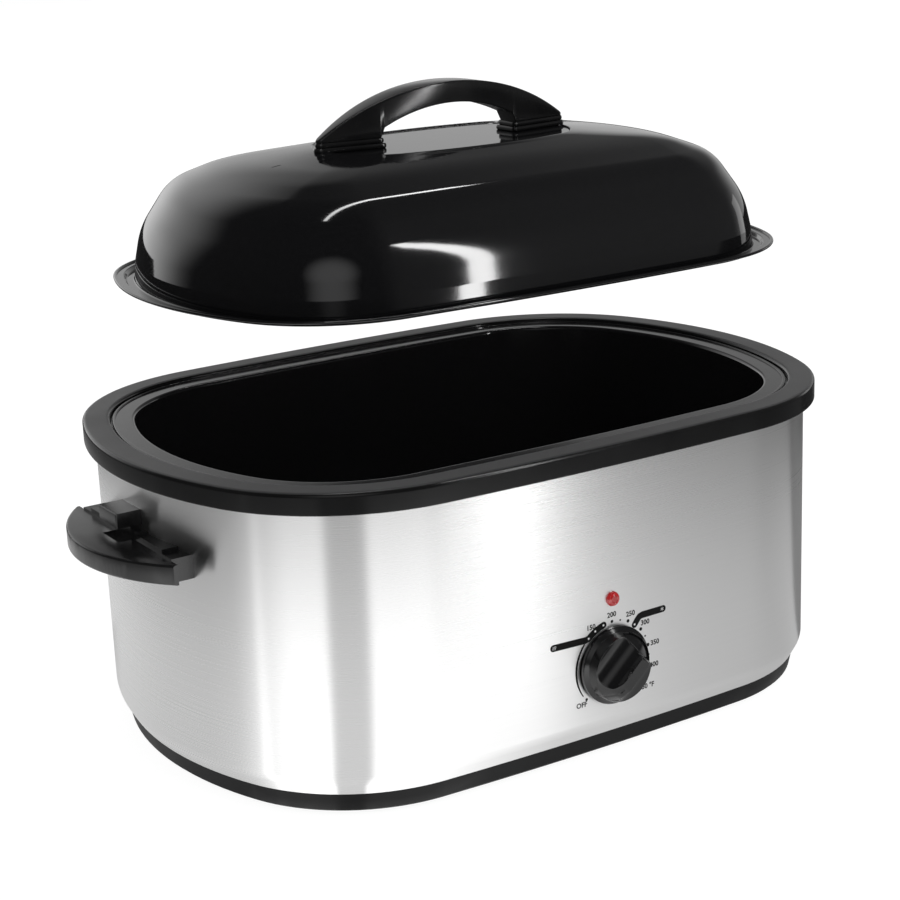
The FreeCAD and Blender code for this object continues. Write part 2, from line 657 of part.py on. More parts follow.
def make_left_handle():
    """Grip shelf with a slot, a hook over it, a stepped wall flange and ribs below."""
    top = HANDLE_TOP
    low = top - HANDLE_THICK
    plate = handle_plan(0, low, top)
    outer_edges = [e for e in plate.Edges if e.BoundBox.ZLength < 0.01 and e.BoundBox.XMin < -300]
    plate = plate.makeFillet(1.6, outer_edges)
    ribs = [box(-HANDLE_REACH, -HANDLE_EDGE, y - 1.2, y + 1.2, low, top)
            for y in (-62, -41, 41, 62)]
    boss = box(-HANDLE_REACH, -HANDLE_EDGE, -20, 20, low, top)
    pocket = handle_plan(3.5, low - 1, top - 3.5).cut(Part.makeCompound(ribs + [boss]))
    steps = [(HANDLE_HALF - 9, 1.5), (60, 4.5), (24, 6.5)]
    flange = [box(-HANDLE_EDGE - 0.5, -200, -half, half, low - 1, top + rise) for half, rise in steps]
    post = box(-SLOT_INNER, -200, -14, 14, top - 1, top + HOOK_RISE)
    hook = box(-HOOK_REACH, -200, -15, 15, top + HOOK_GAP, top + HOOK_RISE)
    hook_edges = [e for e in hook.Edges if e.BoundBox.XMax < -HOOK_REACH + 0.1]
    hook = hook.makeFillet(1.2, hook_edges)
    wall_side = oval_plate(BODY_OVAL, SHELL_INSET, low - 5, top + 30)
    bracket = fuse_all(flange + [post, hook]).cut(wall_side)
    bracket = bracket.common(box(-HANDLE_REACH, -230, -HANDLE_HALF, HANDLE_HALF, low - 2, top + 30))
    slot = box(-SLOT_OUTER, -SLOT_INNER, -14, 14, low - 5, top + 3)
    handle = fuse_all([plate.cut(pocket), bracket]).cut(slot)
    for y in (-HANDLE_SCREW_Y, HANDLE_SCREW_Y):
        start = vec(-HANDLE_EDGE - 1.5, y, HANDLE_SCREW_HEIGHT)
        handle = handle.cut(rod(1.9, start, vec(-240, y, HANDLE_SCREW_HEIGHT)))
    return handle


def wall_inside(y):
    """X of the shell's inner face at the ends, for a given y."""
    arc = BODY_OVAL[0]
    reach = arc[2] - SHELL_INSET - SHELL_THICK
    return arc[0] + math.sqrt(reach ** 2 - y ** 2)


def make_left_plate():
    """Backing plate inside the wall, bent to the wall's curve."""
    inset = SHELL_INSET + SHELL_THICK + 0.05
    ring = oval_plate(BODY_OVAL, inset, 162, 183).cut(oval_plate(BODY_OVAL, inset + 1.6, 160, 190))
    plate = ring.common(box(-HALF_LENGTH, -200, -50, 50, 160, 190))
    for y in (-HANDLE_SCREW_Y, HANDLE_SCREW_Y):
        plate = plate.cut(rod(2.3, vec(-285, y, HANDLE_SCREW_HEIGHT), vec(-240, y, HANDLE_SCREW_HEIGHT)))
    return plate


def make_handle_screws():
    screws = []
    for y in (-HANDLE_SCREW_Y, HANDLE_SCREW_Y):
        inner = wall_inside(y) - 1.9
        head = rod(4.0, vec(-inner + 2.6, y, HANDLE_SCREW_HEIGHT), vec(-inner + 0.5, y, HANDLE_SCREW_HEIGHT))
        shank = rod(1.85, vec(-inner + 0.6, y, HANDLE_SCREW_HEIGHT), vec(-277.5, y, HANDLE_SCREW_HEIGHT))
        screws.append(fuse_all([head, shank]))
    screws += [s.mirror(vec(0, 0, 0), vec(1, 0, 0)) for s in screws]
    return Part.makeCompound(screws)


# ---------------------------------------------------------------- pan and rack
def make_pan():
    """Drawn enamelled pan: beaded rim, tapered wall, flat floor."""
    rim = PAN_RIM_TOP
    line = [(24.0, rim, 0), (PAN_MOUTH_INSET, rim, 2.5),
            (PAN_MOUTH_INSET + 13, PAN_FLOOR + SHEET, 13.0), (70.0, PAN_FLOOR + SHEET, 0)]
    wall = oval_ring(BODY_OVAL, sheet_profile(line, -SHEET))
    bead = oval_ring(BODY_OVAL, closed_profile([
        (22.0, rim - SHEET, 0), (22.0, rim + 1.0, 0), (24.6, rim + 1.0, 0), (24.6, rim - SHEET, 0)]))
    floor = oval_plate(BODY_OVAL, 70.0, PAN_FLOOR, PAN_FLOOR + SHEET)
    return fuse_all([wall, bead, floor])


def make_rack():
    """Wire rack: an oval strap frame, cross wires let into its top, two long wires below."""
    low = RACK_HEIGHT - RIM_DEPTH / 2.0
    top = RACK_HEIGHT + RIM_DEPTH / 2.0
    rim = oval_ring(BODY_OVAL, closed_profile([
        (RACK_INSET, low, 0), (RACK_INSET, top, 0),
        (RACK_INSET + RIM_WIDTH, top, 0), (RACK_INSET + RIM_WIDTH, low, 0)]))
    plan = oval_plate(BODY_OVAL, RACK_INSET + RIM_WIDTH / 2.0, low - 10, top + 10)
    wires = []
    for k in range(-5, 6):
        start = vec(k * 34, -HALF_WIDTH, RACK_HEIGHT)
        wires.append(rod(CROSS_WIRE, start, vec(k * 34, HALF_WIDTH, RACK_HEIGHT)))
    under = RACK_HEIGHT - 1.8 * CROSS_WIRE
    for y in (-45, 45):
        wires.append(rod(CROSS_WIRE, vec(-HALF_LENGTH, y, under), vec(HALF_LENGTH, y, under)))
    return fuse_all([rim] + [w.common(plan) for w in wires])


def make_rack_legs():
    """Four short legs under the two long wires."""
    foot = PAN_FLOOR + SHEET + 0.3
    low = RACK_HEIGHT - 2.8 * CROSS_WIRE
    return Part.makeCompound(four_ways(upright(2.4, 153, 45, foot, low)))


def make_rack_loops():
    """A lifting loop at each end: one bent wire that stands on the rim's inside."""
    bend = 10.0
    top = RACK_HEIGHT + LOOP_RISE
    low = RACK_HEIGHT - RIM_DEPTH / 2.0
    path = rounded_path([(-LOOP_HALF, low, 0), (-LOOP_HALF, top, bend),
                         (LOOP_HALF, top, bend), (LOOP_HALF, low, 0)])
    section = Part.Wire(Part.makeCircle(1.8, vec(-LOOP_HALF, 0, low), vec(0, 0, 1)))
    loop = Part.Wire(path).makePipeShell([section], True, True)
    loop.rotate(vec(0, 0, 0), vec(0, 0, 1), 90)
    loop.translate(vec(-LOOP_X, 0, 0))
    return Part.makeCompound([loop, loop.mirror(vec(0, 0, 0), vec(1, 0, 0))])


# ---------------------------------------------------------------- lid
def lid_z(height):
    return LID_REST + height


def crown_loft(drop):
    """Crown that rises gently from the dome's shoulder to the plateau's lip."""
    low = oval_wire(BODY_OVAL, LID_INSET + CROWN_INSET, lid_z(CROWN_EDGE_HEIGHT - drop))
    high = oval_wire(PLATEAU_OVAL, 0, lid_z(PLATEAU_RIM_HEIGHT - drop))
    return Part.makeLoft([low, high], True, True)


def make_lid():
    """Drawn dome: beaded flange, gutter that drops into the pan, wall, crown, plateau."""
    edge = LID_INSET
    gutter = lid_z(-3.0) + SHEET
    foot = edge + LID_WALL_FOOT
    line = [(edge + 1.4, lid_z(SHEET), 0), (edge + 7.6, lid_z(SHEET), 0),
            (edge + 9.4, gutter, 0), (foot - 1.2, gutter, 0),
            (foot + 0.4, lid_z(12), 0), (edge + 22, lid_z(35), 60.0),
            (edge + 45, lid_z(68), 40.0), (edge + CROWN_INSET, lid_z(CROWN_EDGE_HEIGHT), 0)]
    wall = oval_ring(BODY_OVAL, sheet_profile(line, -SHEET))
    bead = oval_ring(BODY_OVAL, closed_profile([
        (edge, lid_z(0.6), 0), (edge, lid_z(1.6), 0), (edge + 0.7, lid_z(2.2), 0),
        (edge + 2.4, lid_z(2.2), 0), (edge + 2.4, lid_z(0), 0), (edge + 0.7, lid_z(0), 0)]))
    join = lid_z(CROWN_EDGE_HEIGHT)
    crown_floor = oval_plate(BODY_OVAL, edge + CROWN_INSET, join - SHEET, join)
    crown = fuse_all([crown_floor, crown_loft(0)]).cut(crown_loft(SHEET))
    recess = oval_plate(PLATEAU_OVAL, 3.0, lid_z(PLATEAU_HEIGHT), lid_z(PLATEAU_RIM_HEIGHT + 1))
    dish = oval_plate(PLATEAU_OVAL, 2.0, lid_z(PLATEAU_HEIGHT - SHEET), lid_z(PLATEAU_RIM_HEIGHT - 0.5))
    lid = fuse_all([wall, bead, crown, dish]).cut(recess)
    drills = [upright(2.8, s * LID_SCREW_X, 0, lid_z(70), lid_z(100)) for s in (-1, 1)]
    slit = box(-149, -142, -10.8, -9.2, lid_z(70), lid_z(100))
    return lid.cut(Part.makeCompound(drills + [slit]))


def leaf(margin, z0, z1):
    """The lid handle's outline from above: bowed sides that narrow to rounded tips."""
    half_length = ARCH_HALF_LENGTH + margin
    half_width = ARCH_HALF_WIDTH + margin
    tip = ARCH_TIP + margin
    tip_x = half_length - tip
    bow = (tip_x ** 2 - (half_width - tip) ** 2) / (2 * (half_width - tip))
    big = bow + half_width
    lean = math.atan2(tip_x, bow)
    corner = vec(tip_x + tip * math.sin(lean), tip * math.cos(lean), z0)
    sides = []
    for way in (1, -1):
        first = vec(-way * corner.x, way * corner.y, z0)
        last = vec(way * corner.x, way * corner.y, z0)
        sides.append(Part.Arc(first, vec(0, way * (big - bow), z0), last).toShape())
        below = vec(way * corner.x, -way * corner.y, z0)
        sides.append(Part.Arc(last, vec(way * half_length, 0, z0), below).toShape())
    return Part.Face(Part.Wire(sides)).extrude(vec(0, 0, z1 - z0))


def make_pads():
    """A pad under each foot: two stacked rounded rings, notched over the plateau's lip."""
    pads = []
    lip_top = lid_z(PLATEAU_RIM_HEIGHT) + 0.3
    lip = box(-120, 120, -30, 30, PAD_BASE - 1, lip_top)
    lip = lip.cut(oval_plate(PLATEAU_OVAL, 3.3, PAD_BASE - 2, lip_top + 1))
    for side in (-1, 1):
        rings = []
        for step, margin in ((0, 2.0), (1, 0.8)):
            low = PAD_BASE + step * PAD_THICK
            ring = leaf(margin, low, low + PAD_THICK)
            inner = FOOT_INNER - 1.5 - margin
            ring = ring.common(box(inner, 120, -30, 30, low, low + PAD_THICK))
            edges = [e for e in ring.Edges if e.BoundBox.ZLength < 0.01]
            rings.append(ring.makeChamfer(0.9, edges))
        pad = fuse_all(rings)
        if side < 0:
            pad = pad.mirror(vec(0, 0, 0), vec(1, 0, 0))
        drill = upright(2.8, side * LID_SCREW_X, 0, lid_z(80), lid_z(110))
        pads.append(pad.cut(Part.makeCompound([lip, drill])))
    return Part.makeCompound(pads)


def make_lid_handle():
    """Arch with a broad top, thin in the middle and deep over its two feet."""
    base = ARCH_BASE
    half = ARCH_HALF_LENGTH + 1
    shoulder = vec(FOOT_INNER - 3, 0, base + 7)
    edges = [
        Part.Arc(vec(-half, 0, base + 1.2), vec(0, 0, ARCH_TOP), vec(half, 0, base + 1.2)).toShape(),
        Part.makeLine(vec(half, 0, base + 1.2), vec(half, 0, base)),
        Part.makeLine(vec(half, 0, base), vec(FOOT_INNER, 0, base)),
        Part.makeLine(vec(FOOT_INNER, 0, base), shoulder),
        Part.Arc(shoulder, vec(0, 0, ARCH_TOP - 15.5), vec(-shoulder.x, 0, shoulder.z)).toShape(),
        Part.makeLine(vec(-shoulder.x, 0, shoulder.z), vec(-FOOT_INNER, 0, base)),
        Part.makeLine(vec(-FOOT_INNER, 0, base), vec(-half, 0, base)),
        Part.makeLine(vec(-half, 0, base), vec(-half, 0, base + 1.2)),
    ]
    side_view = Part.Face(Part.Wire(edges)).extrude(vec(0, 60, 0))
    side_view.translate(vec(0, -30, 0))
    arch = side_view.common(leaf(0, base - 1, ARCH_TOP + 1))
    top_edges = [e for e in arch.Edges if e.BoundBox.ZMax > ARCH_TOP - 5 and e.BoundBox.XLength > 150]
    arch = arch.makeChamfer(0.8, top_edges)
    drills = [upright(2.1, s * LID_SCREW_X, 0, base - 1, base + 9) for s in (-1, 1)]
    return arch.cut(Part.makeCompound(drills))


def make_lid_screws():
    under = lid_z(PLATEAU_HEIGHT - SHEET)
    screws = []
    for side in (-1, 1):
        x = side * LID_SCREW_X
        head = upright(4.4, x, 0, under - 4.0, under - 1.2)
        shank = upright(2.05, x, 0, under - 1.3, ARCH_BASE + 8)
        screws.append(fuse_all([head, shank]))
    return Part.makeCompound(screws)


def make_lid_washers():
    under = lid_z(PLATEAU_HEIGHT - SHEET)
    washers = [upright(7.5, s * LID_SCREW_X, 0, under - 1.2, under).cut(
        upright(2.4, s * LID_SCREW_X, 0, under - 2, under + 1)) for s in (-1, 1)]
    return Part.makeCompound(washers)


# ---------------------------------------------------------------- write every node
def main():
    os.makedirs("parts", exist_ok=True)
    left_handle = make_left_handle()
    left_plate = make_left_plate()
    nodes = {
        "rim_collar": make_collar(),
        "outer_shell": make_shell(),
        "seam_rivets": make_rivets(),
        "base_tray": make_tray(),
        "rubber_feet": make_feet(),
        "foot_screws": make_foot_screws(),
        "well_liner": make_liner(),
        "heating_band": make_heating_band(),
        "band_straps": make_band_straps(),
        "heater_terminals": make_heater_terminals(),
        "insulation_blanket": make_insulation(),
        "temperature_knob": make_knob(),
        "thermostat_shaft": make_shaft(),
        "knob_clip": make_knob_clip(),
        "thermostat_body": make_thermostat(),
        "thermostat_nut": make_thermostat_nut(),
        "sensor_plate": make_sensor_plate(),
        "indicator_lens": make_lens(),
        "indicator_lamp": make_lamp(),
        "lens_clip": make_lens_clip(),
        "cord_gland": make_gland(),
        "terminal_block": make_terminal_block(),
        "internal_leads": make_leads(),
        "thermal_fuse": make_thermal_fuse(),
        "tie_strap": make_tie_strap(),
        "tie_bolt": make_tie_bolt(),
        "handle_left": left_handle,
        "handle_right": left_handle.mirror(vec(0, 0, 0), vec(1, 0, 0)),
        "handle_plate_left": left_plate,
        "handle_plate_right": left_plate.mirror(vec(0, 0, 0), vec(1, 0, 0)),
        "handle_screws": make_handle_screws(),
        "cooking_pan": make_pan(),
        "roasting_rack": make_rack(),
        "rack_legs": make_rack_legs(),
        "rack_loops": make_rack_loops(),
        "lid_shell": make_lid(),
        "lid_handle_pads": make_pads(),
        "lid_handle": make_lid_handle(),
        "lid_handle_screws": make_lid_screws(),
        "lid_washers": make_lid_washers(),
    }
    for node, shape in nodes.items():
        save(node, shape)


main()
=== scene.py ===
# %% [markdown]
# # A countertop roaster oven, piece by piece
# The oven is an oval steel body on low feet, with a black rim, a lift-out enamelled pan with a wire
# rack, a domed enamelled lid with an arched handle, two side handles and a turning control.
# Its construction was made in CAD and arrives as a fixed frame: every part already has its place.
# What is left is the look: soft edges, true curves, surfaces and light. Each chapter first says what
# a piece is, then how it could be made, then why it is made this way.

import math

import bmesh
import bpy
import numpy as np
from mathutils import Matrix, Vector


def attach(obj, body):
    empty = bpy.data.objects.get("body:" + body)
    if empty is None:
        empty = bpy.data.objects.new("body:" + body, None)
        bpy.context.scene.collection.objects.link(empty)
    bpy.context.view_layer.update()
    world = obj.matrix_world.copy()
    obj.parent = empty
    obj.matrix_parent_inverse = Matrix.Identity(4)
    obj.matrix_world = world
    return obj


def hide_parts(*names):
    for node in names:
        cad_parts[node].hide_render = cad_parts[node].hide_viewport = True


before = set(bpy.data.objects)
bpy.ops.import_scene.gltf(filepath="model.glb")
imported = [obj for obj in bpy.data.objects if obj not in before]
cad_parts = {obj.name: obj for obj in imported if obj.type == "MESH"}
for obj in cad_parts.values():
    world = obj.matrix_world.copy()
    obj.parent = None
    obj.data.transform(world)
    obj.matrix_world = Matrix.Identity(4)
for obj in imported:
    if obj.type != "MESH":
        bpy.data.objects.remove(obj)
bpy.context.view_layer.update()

# %% [markdown]
# ## Lengths
# Lengths below are in millimetres about the body's own upright axis, because that is how a maker
# reads a drawing. The frame is in metres and its origin lies 9.3 mm in front of that axis, because
# the control stands out in front and the box is centred with it counted in. One function turns the
# one into the other, so the figures stay readable. The lid hangs over its seat, so its pieces are
# drawn over the underside of its own edge and then lifted there. The control's shaft and the pilot
# lens stand one over the other on the front wall, so they share their x.

# %% From the drawing to the frame
SET_BACK = 9.3
LID_PLACE = (0.0, 0.0, 340.8)
SHAFT_X, SHAFT_Z = 4.4, 71.3
LENS_Z, WALL_Y = 120.7, -192.3


def to_frame(points):
    """Drawing to frame: add the set-back to y, then divide millimetres by a thousand."""
    return (np.asarray(points, float).reshape(-1, 3) + (0.0, SET_BACK, 0.0)) / 1000.0


# %% [markdown]
# ## Putting a surface into a mesh
# Most pieces are a grid of points: one direction runs round the piece, the other along its section.
# A grid could be built point by point, but whole arrays are quicker and shorter. A row of points that
# meets itself again is closed by taking the next index modulo the count, so no seam stays open.

# %% Grid to mesh
SAME_POINT, NO_LENGTH = 2e-6, 1e-7


def full_turn(sides):
    """Angles once round, without the one that comes back to the start."""
    return np.linspace(0, 2 * np.pi, sides, endpoint=False)


def unit(rows):
    """Rows of vectors, each shortened to length one."""
    return rows / np.linalg.norm(rows, axis=1)[:, None]


def placed(name, data):
    """A new object in the scene around a mesh, curve, lamp or camera."""
    made = bpy.data.objects.new(name, data)
    bpy.context.scene.collection.objects.link(made)
    return made


def grid_faces(rows, columns, wrap_rows=True, wrap_columns=False):
    """Quads between neighbouring rows and columns; a wrapped direction also joins last to first."""
    i = np.arange(rows if wrap_rows else rows - 1)[:, None]
    j = np.arange(columns if wrap_columns else columns - 1)[None, :]
    i2, j2 = (i + 1) % rows, (j + 1) % columns
    corners = [i * columns + j, i2 * columns + j, i2 * columns + j2, i * columns + j2]
    return np.stack([np.broadcast_to(c, (i.size, j.size)) for c in corners], -1).reshape(-1, 4)


def worked_out(thing):
    """A new mesh of an object as it looks, with its cuts made or its letters filled."""
    bpy.context.view_layer.update()
    return bpy.data.meshes.new_from_object(thing.evaluated_get(bpy.context.evaluated_depsgraph_get()))


def clean(mesh, flat=None):
    """Merge points that fall together and drop faces with no area. Then turn all faces outwards or,
    where an angle is given, join neighbours that bend by less than that."""
    shell = bmesh.new()
    shell.from_mesh(mesh)
    bmesh.ops.remove_doubles(shell, verts=shell.verts, dist=SAME_POINT)
    bmesh.ops.dissolve_degenerate(shell, edges=shell.edges, dist=NO_LENGTH)
    if flat is None:
        bmesh.ops.recalc_face_normals(shell, faces=shell.faces)
    else:
        bmesh.ops.dissolve_limit(shell, angle_limit=math.radians(flat), verts=shell.verts, edges=shell.edges)
    shell.to_mesh(mesh)
    shell.free()


def piece(name, points, faces, body, finish, stands_for=(), slot=None, sharp=38.0, uv=None):
    """A finished piece: mesh from arrays, smooth but for edges sharper than the given angle."""
    mesh = bpy.data.meshes.new(name)
    mesh.from_pydata(to_frame(points).tolist(), [], np.asarray(faces).tolist())
    if uv is not None:
        mesh.uv_layers.new(name="along").data.foreach_set("uv", np.asarray(uv, float).ravel())
    clean(mesh)
    mesh.shade_smooth()
    mesh.set_sharp_from_angle(angle=math.radians(sharp))
    made = placed(name, mesh)
    made.data.materials.append(finish)
    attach(made, body)
    if stands_for:
        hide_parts(*stands_for)
    print(name, len(mesh.polygons), "faces")
    return made


# %% [markdown]
# ## The oval
# Rim, wrap, pan, liner and lid all follow one oval, each drawn in from it by its own distance. The
# oval is eight arcs that meet without a kink: two long flat sides, two rounder ends and four corners.
# Scaling one outline would make the gaps between the pieces uneven. Drawing every arc in about its
# own centre keeps a gap the same all the way round.

# %% Eight tangent arcs


def oval_arcs(half_length, half_width, side, end, corner):
    """Corner arcs touch side and end arcs from inside: their centre is side - corner from one
    centre and end - corner from the other. Returns centre x, centre y, radius, first, last angle."""
    side_y, end_x = half_width - side, half_length - end
    span = math.hypot(end_x, side_y)
    along = ((side - corner) ** 2 - (end - corner) ** 2 + span**2) / (2 * span)
    out = math.sqrt((side - corner) ** 2 - along**2)
    ux, uy = end_x / span, -side_y / span
    cx, cy = ux * along + uy * out, side_y + uy * along - ux * out
    a = math.degrees(math.atan2(cy - side_y, cx))
    b = math.degrees(math.atan2(cy, cx - end_x))
    return np.array(
        [
            (end_x, 0, end, -b, b),
            (cx, cy, corner, b, a),
            (0, side_y, side, a, 180 - a),
            (-cx, cy, corner, 180 - a, 180 - b),
            (-end_x, 0, end, 180 - b, 180 + b),
            (-cx, -cy, corner, 180 + b, 180 + a),
            (0, -side_y, side, 180 + a, 360 - a),
            (cx, -cy, corner, 360 - a, 360 - b),
        ]
    )


ARC_STEPS = (24, 24, 30, 24, 24, 24, 30, 24)


def stations(arcs):
    """Rows of centre x, centre y, radius and angle, each arc cut into equal turns."""
    share = np.concatenate([np.arange(n) / n for n in ARC_STEPS])
    row = np.repeat(arcs, ARC_STEPS, axis=0)
    angle = np.radians(row[:, 3] + (row[:, 4] - row[:, 3]) * share)
    return np.column_stack([row[:, :3], angle])


BODY = stations(oval_arcs(280.0, 200.7, 2890.0, 290.0, 140.0))
PLATEAU = stations(oval_arcs(102.0, 60.0, 330.0, 66.0, 40.0))


def drawn_in(oval, inset):
    """Points of the oval moved towards each arc's centre by inset: centre + (radius - inset) * turn."""
    reach = oval[:, 2:3] - np.atleast_1d(inset)[None, :]
    x = oval[:, 0:1] + reach * np.cos(oval[:, 3:4])
    y = oval[:, 1:2] + reach * np.sin(oval[:, 3:4])
    return np.stack([x, y], -1)


print("oval of", len(BODY), "stations")

# %% [markdown]
# ## Sections
# A section is a list of corners, each with the radius that rounds it. Pressed and moulded edges are
# never sharp: the small radius is what catches the light. On either side of an arc one more point
# sits close by, so that the smooth shading stays inside the bend and flat faces stay flat.

# %% Rounded sections


def rounded(corners, closed=False, steps=6, hold=0.25, stride=14.0):
    """Straight runs joined by arcs tangent to both: the arc starts radius / tan(half the angle)
    from the corner. Long runs are cut into strides, and a point is held close to each bend."""
    c = np.asarray(corners, float)
    count = len(c)
    path = []
    for k in range(count):
        p, r = c[k, :2], c[k, 2]
        if not closed and k in (0, count - 1):
            path.append(p[None])
            continue
        a, b = c[k - 1, :2] - p, c[(k + 1) % count, :2] - p
        la, lb = np.hypot(*a), np.hypot(*b)
        a, b = a / la, b / lb
        half = math.acos(np.clip(a @ b, -1, 1)) / 2
        if r <= 0 or half > 1.565:
            path.append(p[None])
            continue
        reach = min(r / math.tan(half), 0.49 * la, 0.49 * lb)
        r = reach * math.tan(half)
        middle = p + (a + b) / np.hypot(*(a + b)) * (r / math.sin(half))
        start, end = p + a * reach - middle, p + b * reach - middle
        turn = math.atan2(start[0] * end[1] - start[1] * end[0], start @ end)
        t = turn * np.linspace(0, 1, steps + 1)
        arc = middle + np.cos(t)[:, None] * start + np.sin(t)[:, None] * np.array([-start[1], start[0]])
        near = min(hold, 0.3 * (la - reach), 0.3 * (lb - reach))
        path.append(np.vstack([arc[0] + a * near, arc, arc[-1] + b * near]))
    path = np.vstack(path)
    ends = np.vstack([path[1:], path[:1]]) if closed else path[1:]
    starts = path if closed else path[:-1]
    runs = []
    for s, e in zip(starts, ends):
        cuts = max(1, int(np.hypot(*(e - s)) / stride))
        runs.append(s + (e - s) * (np.arange(cuts) / cuts)[:, None])
    if not closed:
        runs.append(path[-1:])
    return np.vstack(runs)


def oval_sweep(section, oval=BODY):
    """A section of (inset, height) carried round the oval: rows are stations, columns the section."""
    plan = drawn_in(oval, section[:, 0])
    height = np.broadcast_to(section[:, 1], plan.shape[:2])
    return np.dstack([plan, height])


def swept_piece(name, points, body, finish, stands_for, slot, sharp=38.0):
    """A closed section swept round the oval, with a layout whose u is the length of the walk."""
    rows, columns = points.shape[:2]
    faces = grid_faces(rows, columns, True, True)
    step = np.hypot(*(np.roll(points[:, 0, :2], -1, 0) - points[:, 0, :2]).T)
    walk = np.concatenate([[0], np.cumsum(step)]) / 1000
    rise = np.append(points[0, :, 2], points[0, 0, 2]) / 1000
    i, j = np.divmod(np.arange(rows * columns), columns)
    u = np.stack([walk[i], walk[i + 1], walk[i + 1], walk[i]], -1)
    v = np.stack([rise[j], rise[j], rise[j + 1], rise[j + 1]], -1)
    return piece(name, points, faces, body, finish, stands_for, slot, sharp, np.stack([u, v], -1))


# %% [markdown]
# ## Finishes
# Every finish is worked out from the place on the piece, so it holds still when the piece moves and
# needs no picture. A short helper adds a node, sets its inputs by name and links what is a socket, so
# that each recipe reads like a list: which pattern, how coarse, how deep.

# %% Node helpers


class Nodes:
    """A list of steps: add() makes a node, sets values and links sockets given by input name."""

    def __init__(self, tree):
        self.tree = tree

    def add(self, kind, settings=None, **inputs):
        node = self.tree.nodes.new(kind)
        for key, value in (settings or {}).items():
            setattr(node, key, value)
        self.feed(node, **inputs)
        return node

    def feed(self, node, **inputs):
        for key, value in inputs.items():
            at = int(key[1:]) if key[1:].isdigit() else key.replace("_", " ")
            socket = node.inputs[at]
            if isinstance(value, bpy.types.NodeSocket):
                self.tree.links.new(value, socket)
            else:
                socket.default_value = value

    def split(self, where):
        """The three parts of a place or direction: x, y and height."""
        return self.add("ShaderNodeSeparateXYZ", Vector=where).outputs

    def math(self, operation, *values):
        """Arithmetic on one to three values or sockets."""
        inputs = {f"i{k}": value for k, value in enumerate(values)}
        return self.add("ShaderNodeMath", {"operation": operation}, **inputs).outputs[0]

    def span(self, value, low, high, start=0.3, end=0.7, kind="LINEAR"):
        """Spread a pattern from start..end over low..high."""
        ends = {"i1": start, "i2": end, "i3": low, "i4": high}
        return self.add("ShaderNodeMapRange", {"interpolation_type": kind}, i0=value, **ends).outputs[0]


class Recipe(Nodes):
    """One material: the patterns that make it and the shader that they feed."""

    def __init__(self, name):
        self.material = bpy.data.materials.new(name)
        self.material.use_nodes = True
        super().__init__(self.material.node_tree)
        self.shader = self.tree.nodes["Principled BSDF"]

    def spot(self):
        """The place on the piece itself, in metres."""
        return self.add("ShaderNodeTexCoord").outputs["Object"]

    def place(self, scale=(1, 1, 1)):
        """The place, stretched: a large scale in one direction makes fine lines across it."""
        return self.add("ShaderNodeMapping", Vector=self.spot(), Scale=scale).outputs[0]

    def wave(self, bands, where, scale, bend=0.0):
        """Even bands across one direction, and how far they wander."""
        settings = {"bands_direction": bands}
        return self.add("ShaderNodeTexWave", settings, Vector=where, Scale=scale, Distortion=bend).outputs[1]

    def cells(self, where, scale):
        """A Voronoi pattern, each cell in a shade of its own."""
        return self.add("ShaderNodeTexVoronoi", Vector=where, Scale=scale).outputs["Color"]

    def noise(self, where, scale, detail=2.0, rough=0.5):
        made = self.add("ShaderNodeTexNoise", Vector=where, Scale=scale, Detail=detail, Roughness=rough)
        return made.outputs["Fac"]

    def blend(self, value, dark, light, start=0.3, end=0.7):
        """Colours between dark and light by a pattern."""
        ramp = self.add("ShaderNodeValToRGB", i0=value)
        for stop, at, colour in zip(ramp.color_ramp.elements, (start, end), (dark, light)):
            stop.position, stop.color = at, (*colour, 1)
        return ramp.outputs[0]

    def bump(self, height, distance, strength=1.0, after=None):
        extra = {} if after is None else {"Normal": after}
        made = self.add("ShaderNodeBump", Height=height, Distance=distance, Strength=strength, **extra)
        return made.outputs[0]

    def finish(self, **inputs):
        self.feed(self.shader, **inputs)
        return self.material


# %% [markdown]
# ## Brushed steel
# The wrap is stainless sheet, brushed along its length before it was bent. Brushing leaves hair-thin
# scratches all in one direction. They spread a reflection across themselves, so a lamp becomes a tall
# soft bar on the wall. The stretched reflection comes from the shader's anisotropy with the tangent
# along the wrap; the single hairs are noise, drawn out a hundredfold along the same direction.

# %% Brushed steel


def brushed_steel():
    r = Recipe("brushed_steel")
    hairs = r.noise(r.place((5, 5, 2600)), 1.0, 3.0, 0.62)
    strokes = r.noise(r.place((1.6, 1.6, 460)), 1.0, 2.0, 0.5)
    clouds = r.noise(r.place((3, 3, 5)), 1.0, 1.0)
    both = r.math("MULTIPLY_ADD", hairs, 0.65, r.span(strokes, 0.0, 0.35, 0.0, 1.0))
    colour = r.blend(both, (0.722, 0.722, 0.722), (0.748, 0.747, 0.745), 0.28, 0.72)
    rough = r.math("ADD", r.span(both, 0.272, 0.288), r.span(clouds, -0.008, 0.008))
    tangent = r.add("ShaderNodeTangent", {"direction_type": "UV_MAP", "uv_map": "along"})
    return r.finish(
        Base_Color=colour, Metallic=1.0, Roughness=rough, Anisotropic=0.92, Anisotropic_Rotation=0.25,
        Tangent=tangent.outputs[0], Normal=r.bump(both, 0.0000015, 0.5),
    )


steel = brushed_steel()
print(steel.name, "ready")

# %% [markdown]
# ## Porcelain enamel
# Pan and lid are pressed steel, coated with black glass and fired. The coat is almost a mirror, but
# it flowed a little while it melted, which leaves a very shallow waviness a few millimetres long.
# A clear black alone would look like liquid, so two shallow noises bend the reflections a trifle and
# a third varies the gloss.

# %% Enamel


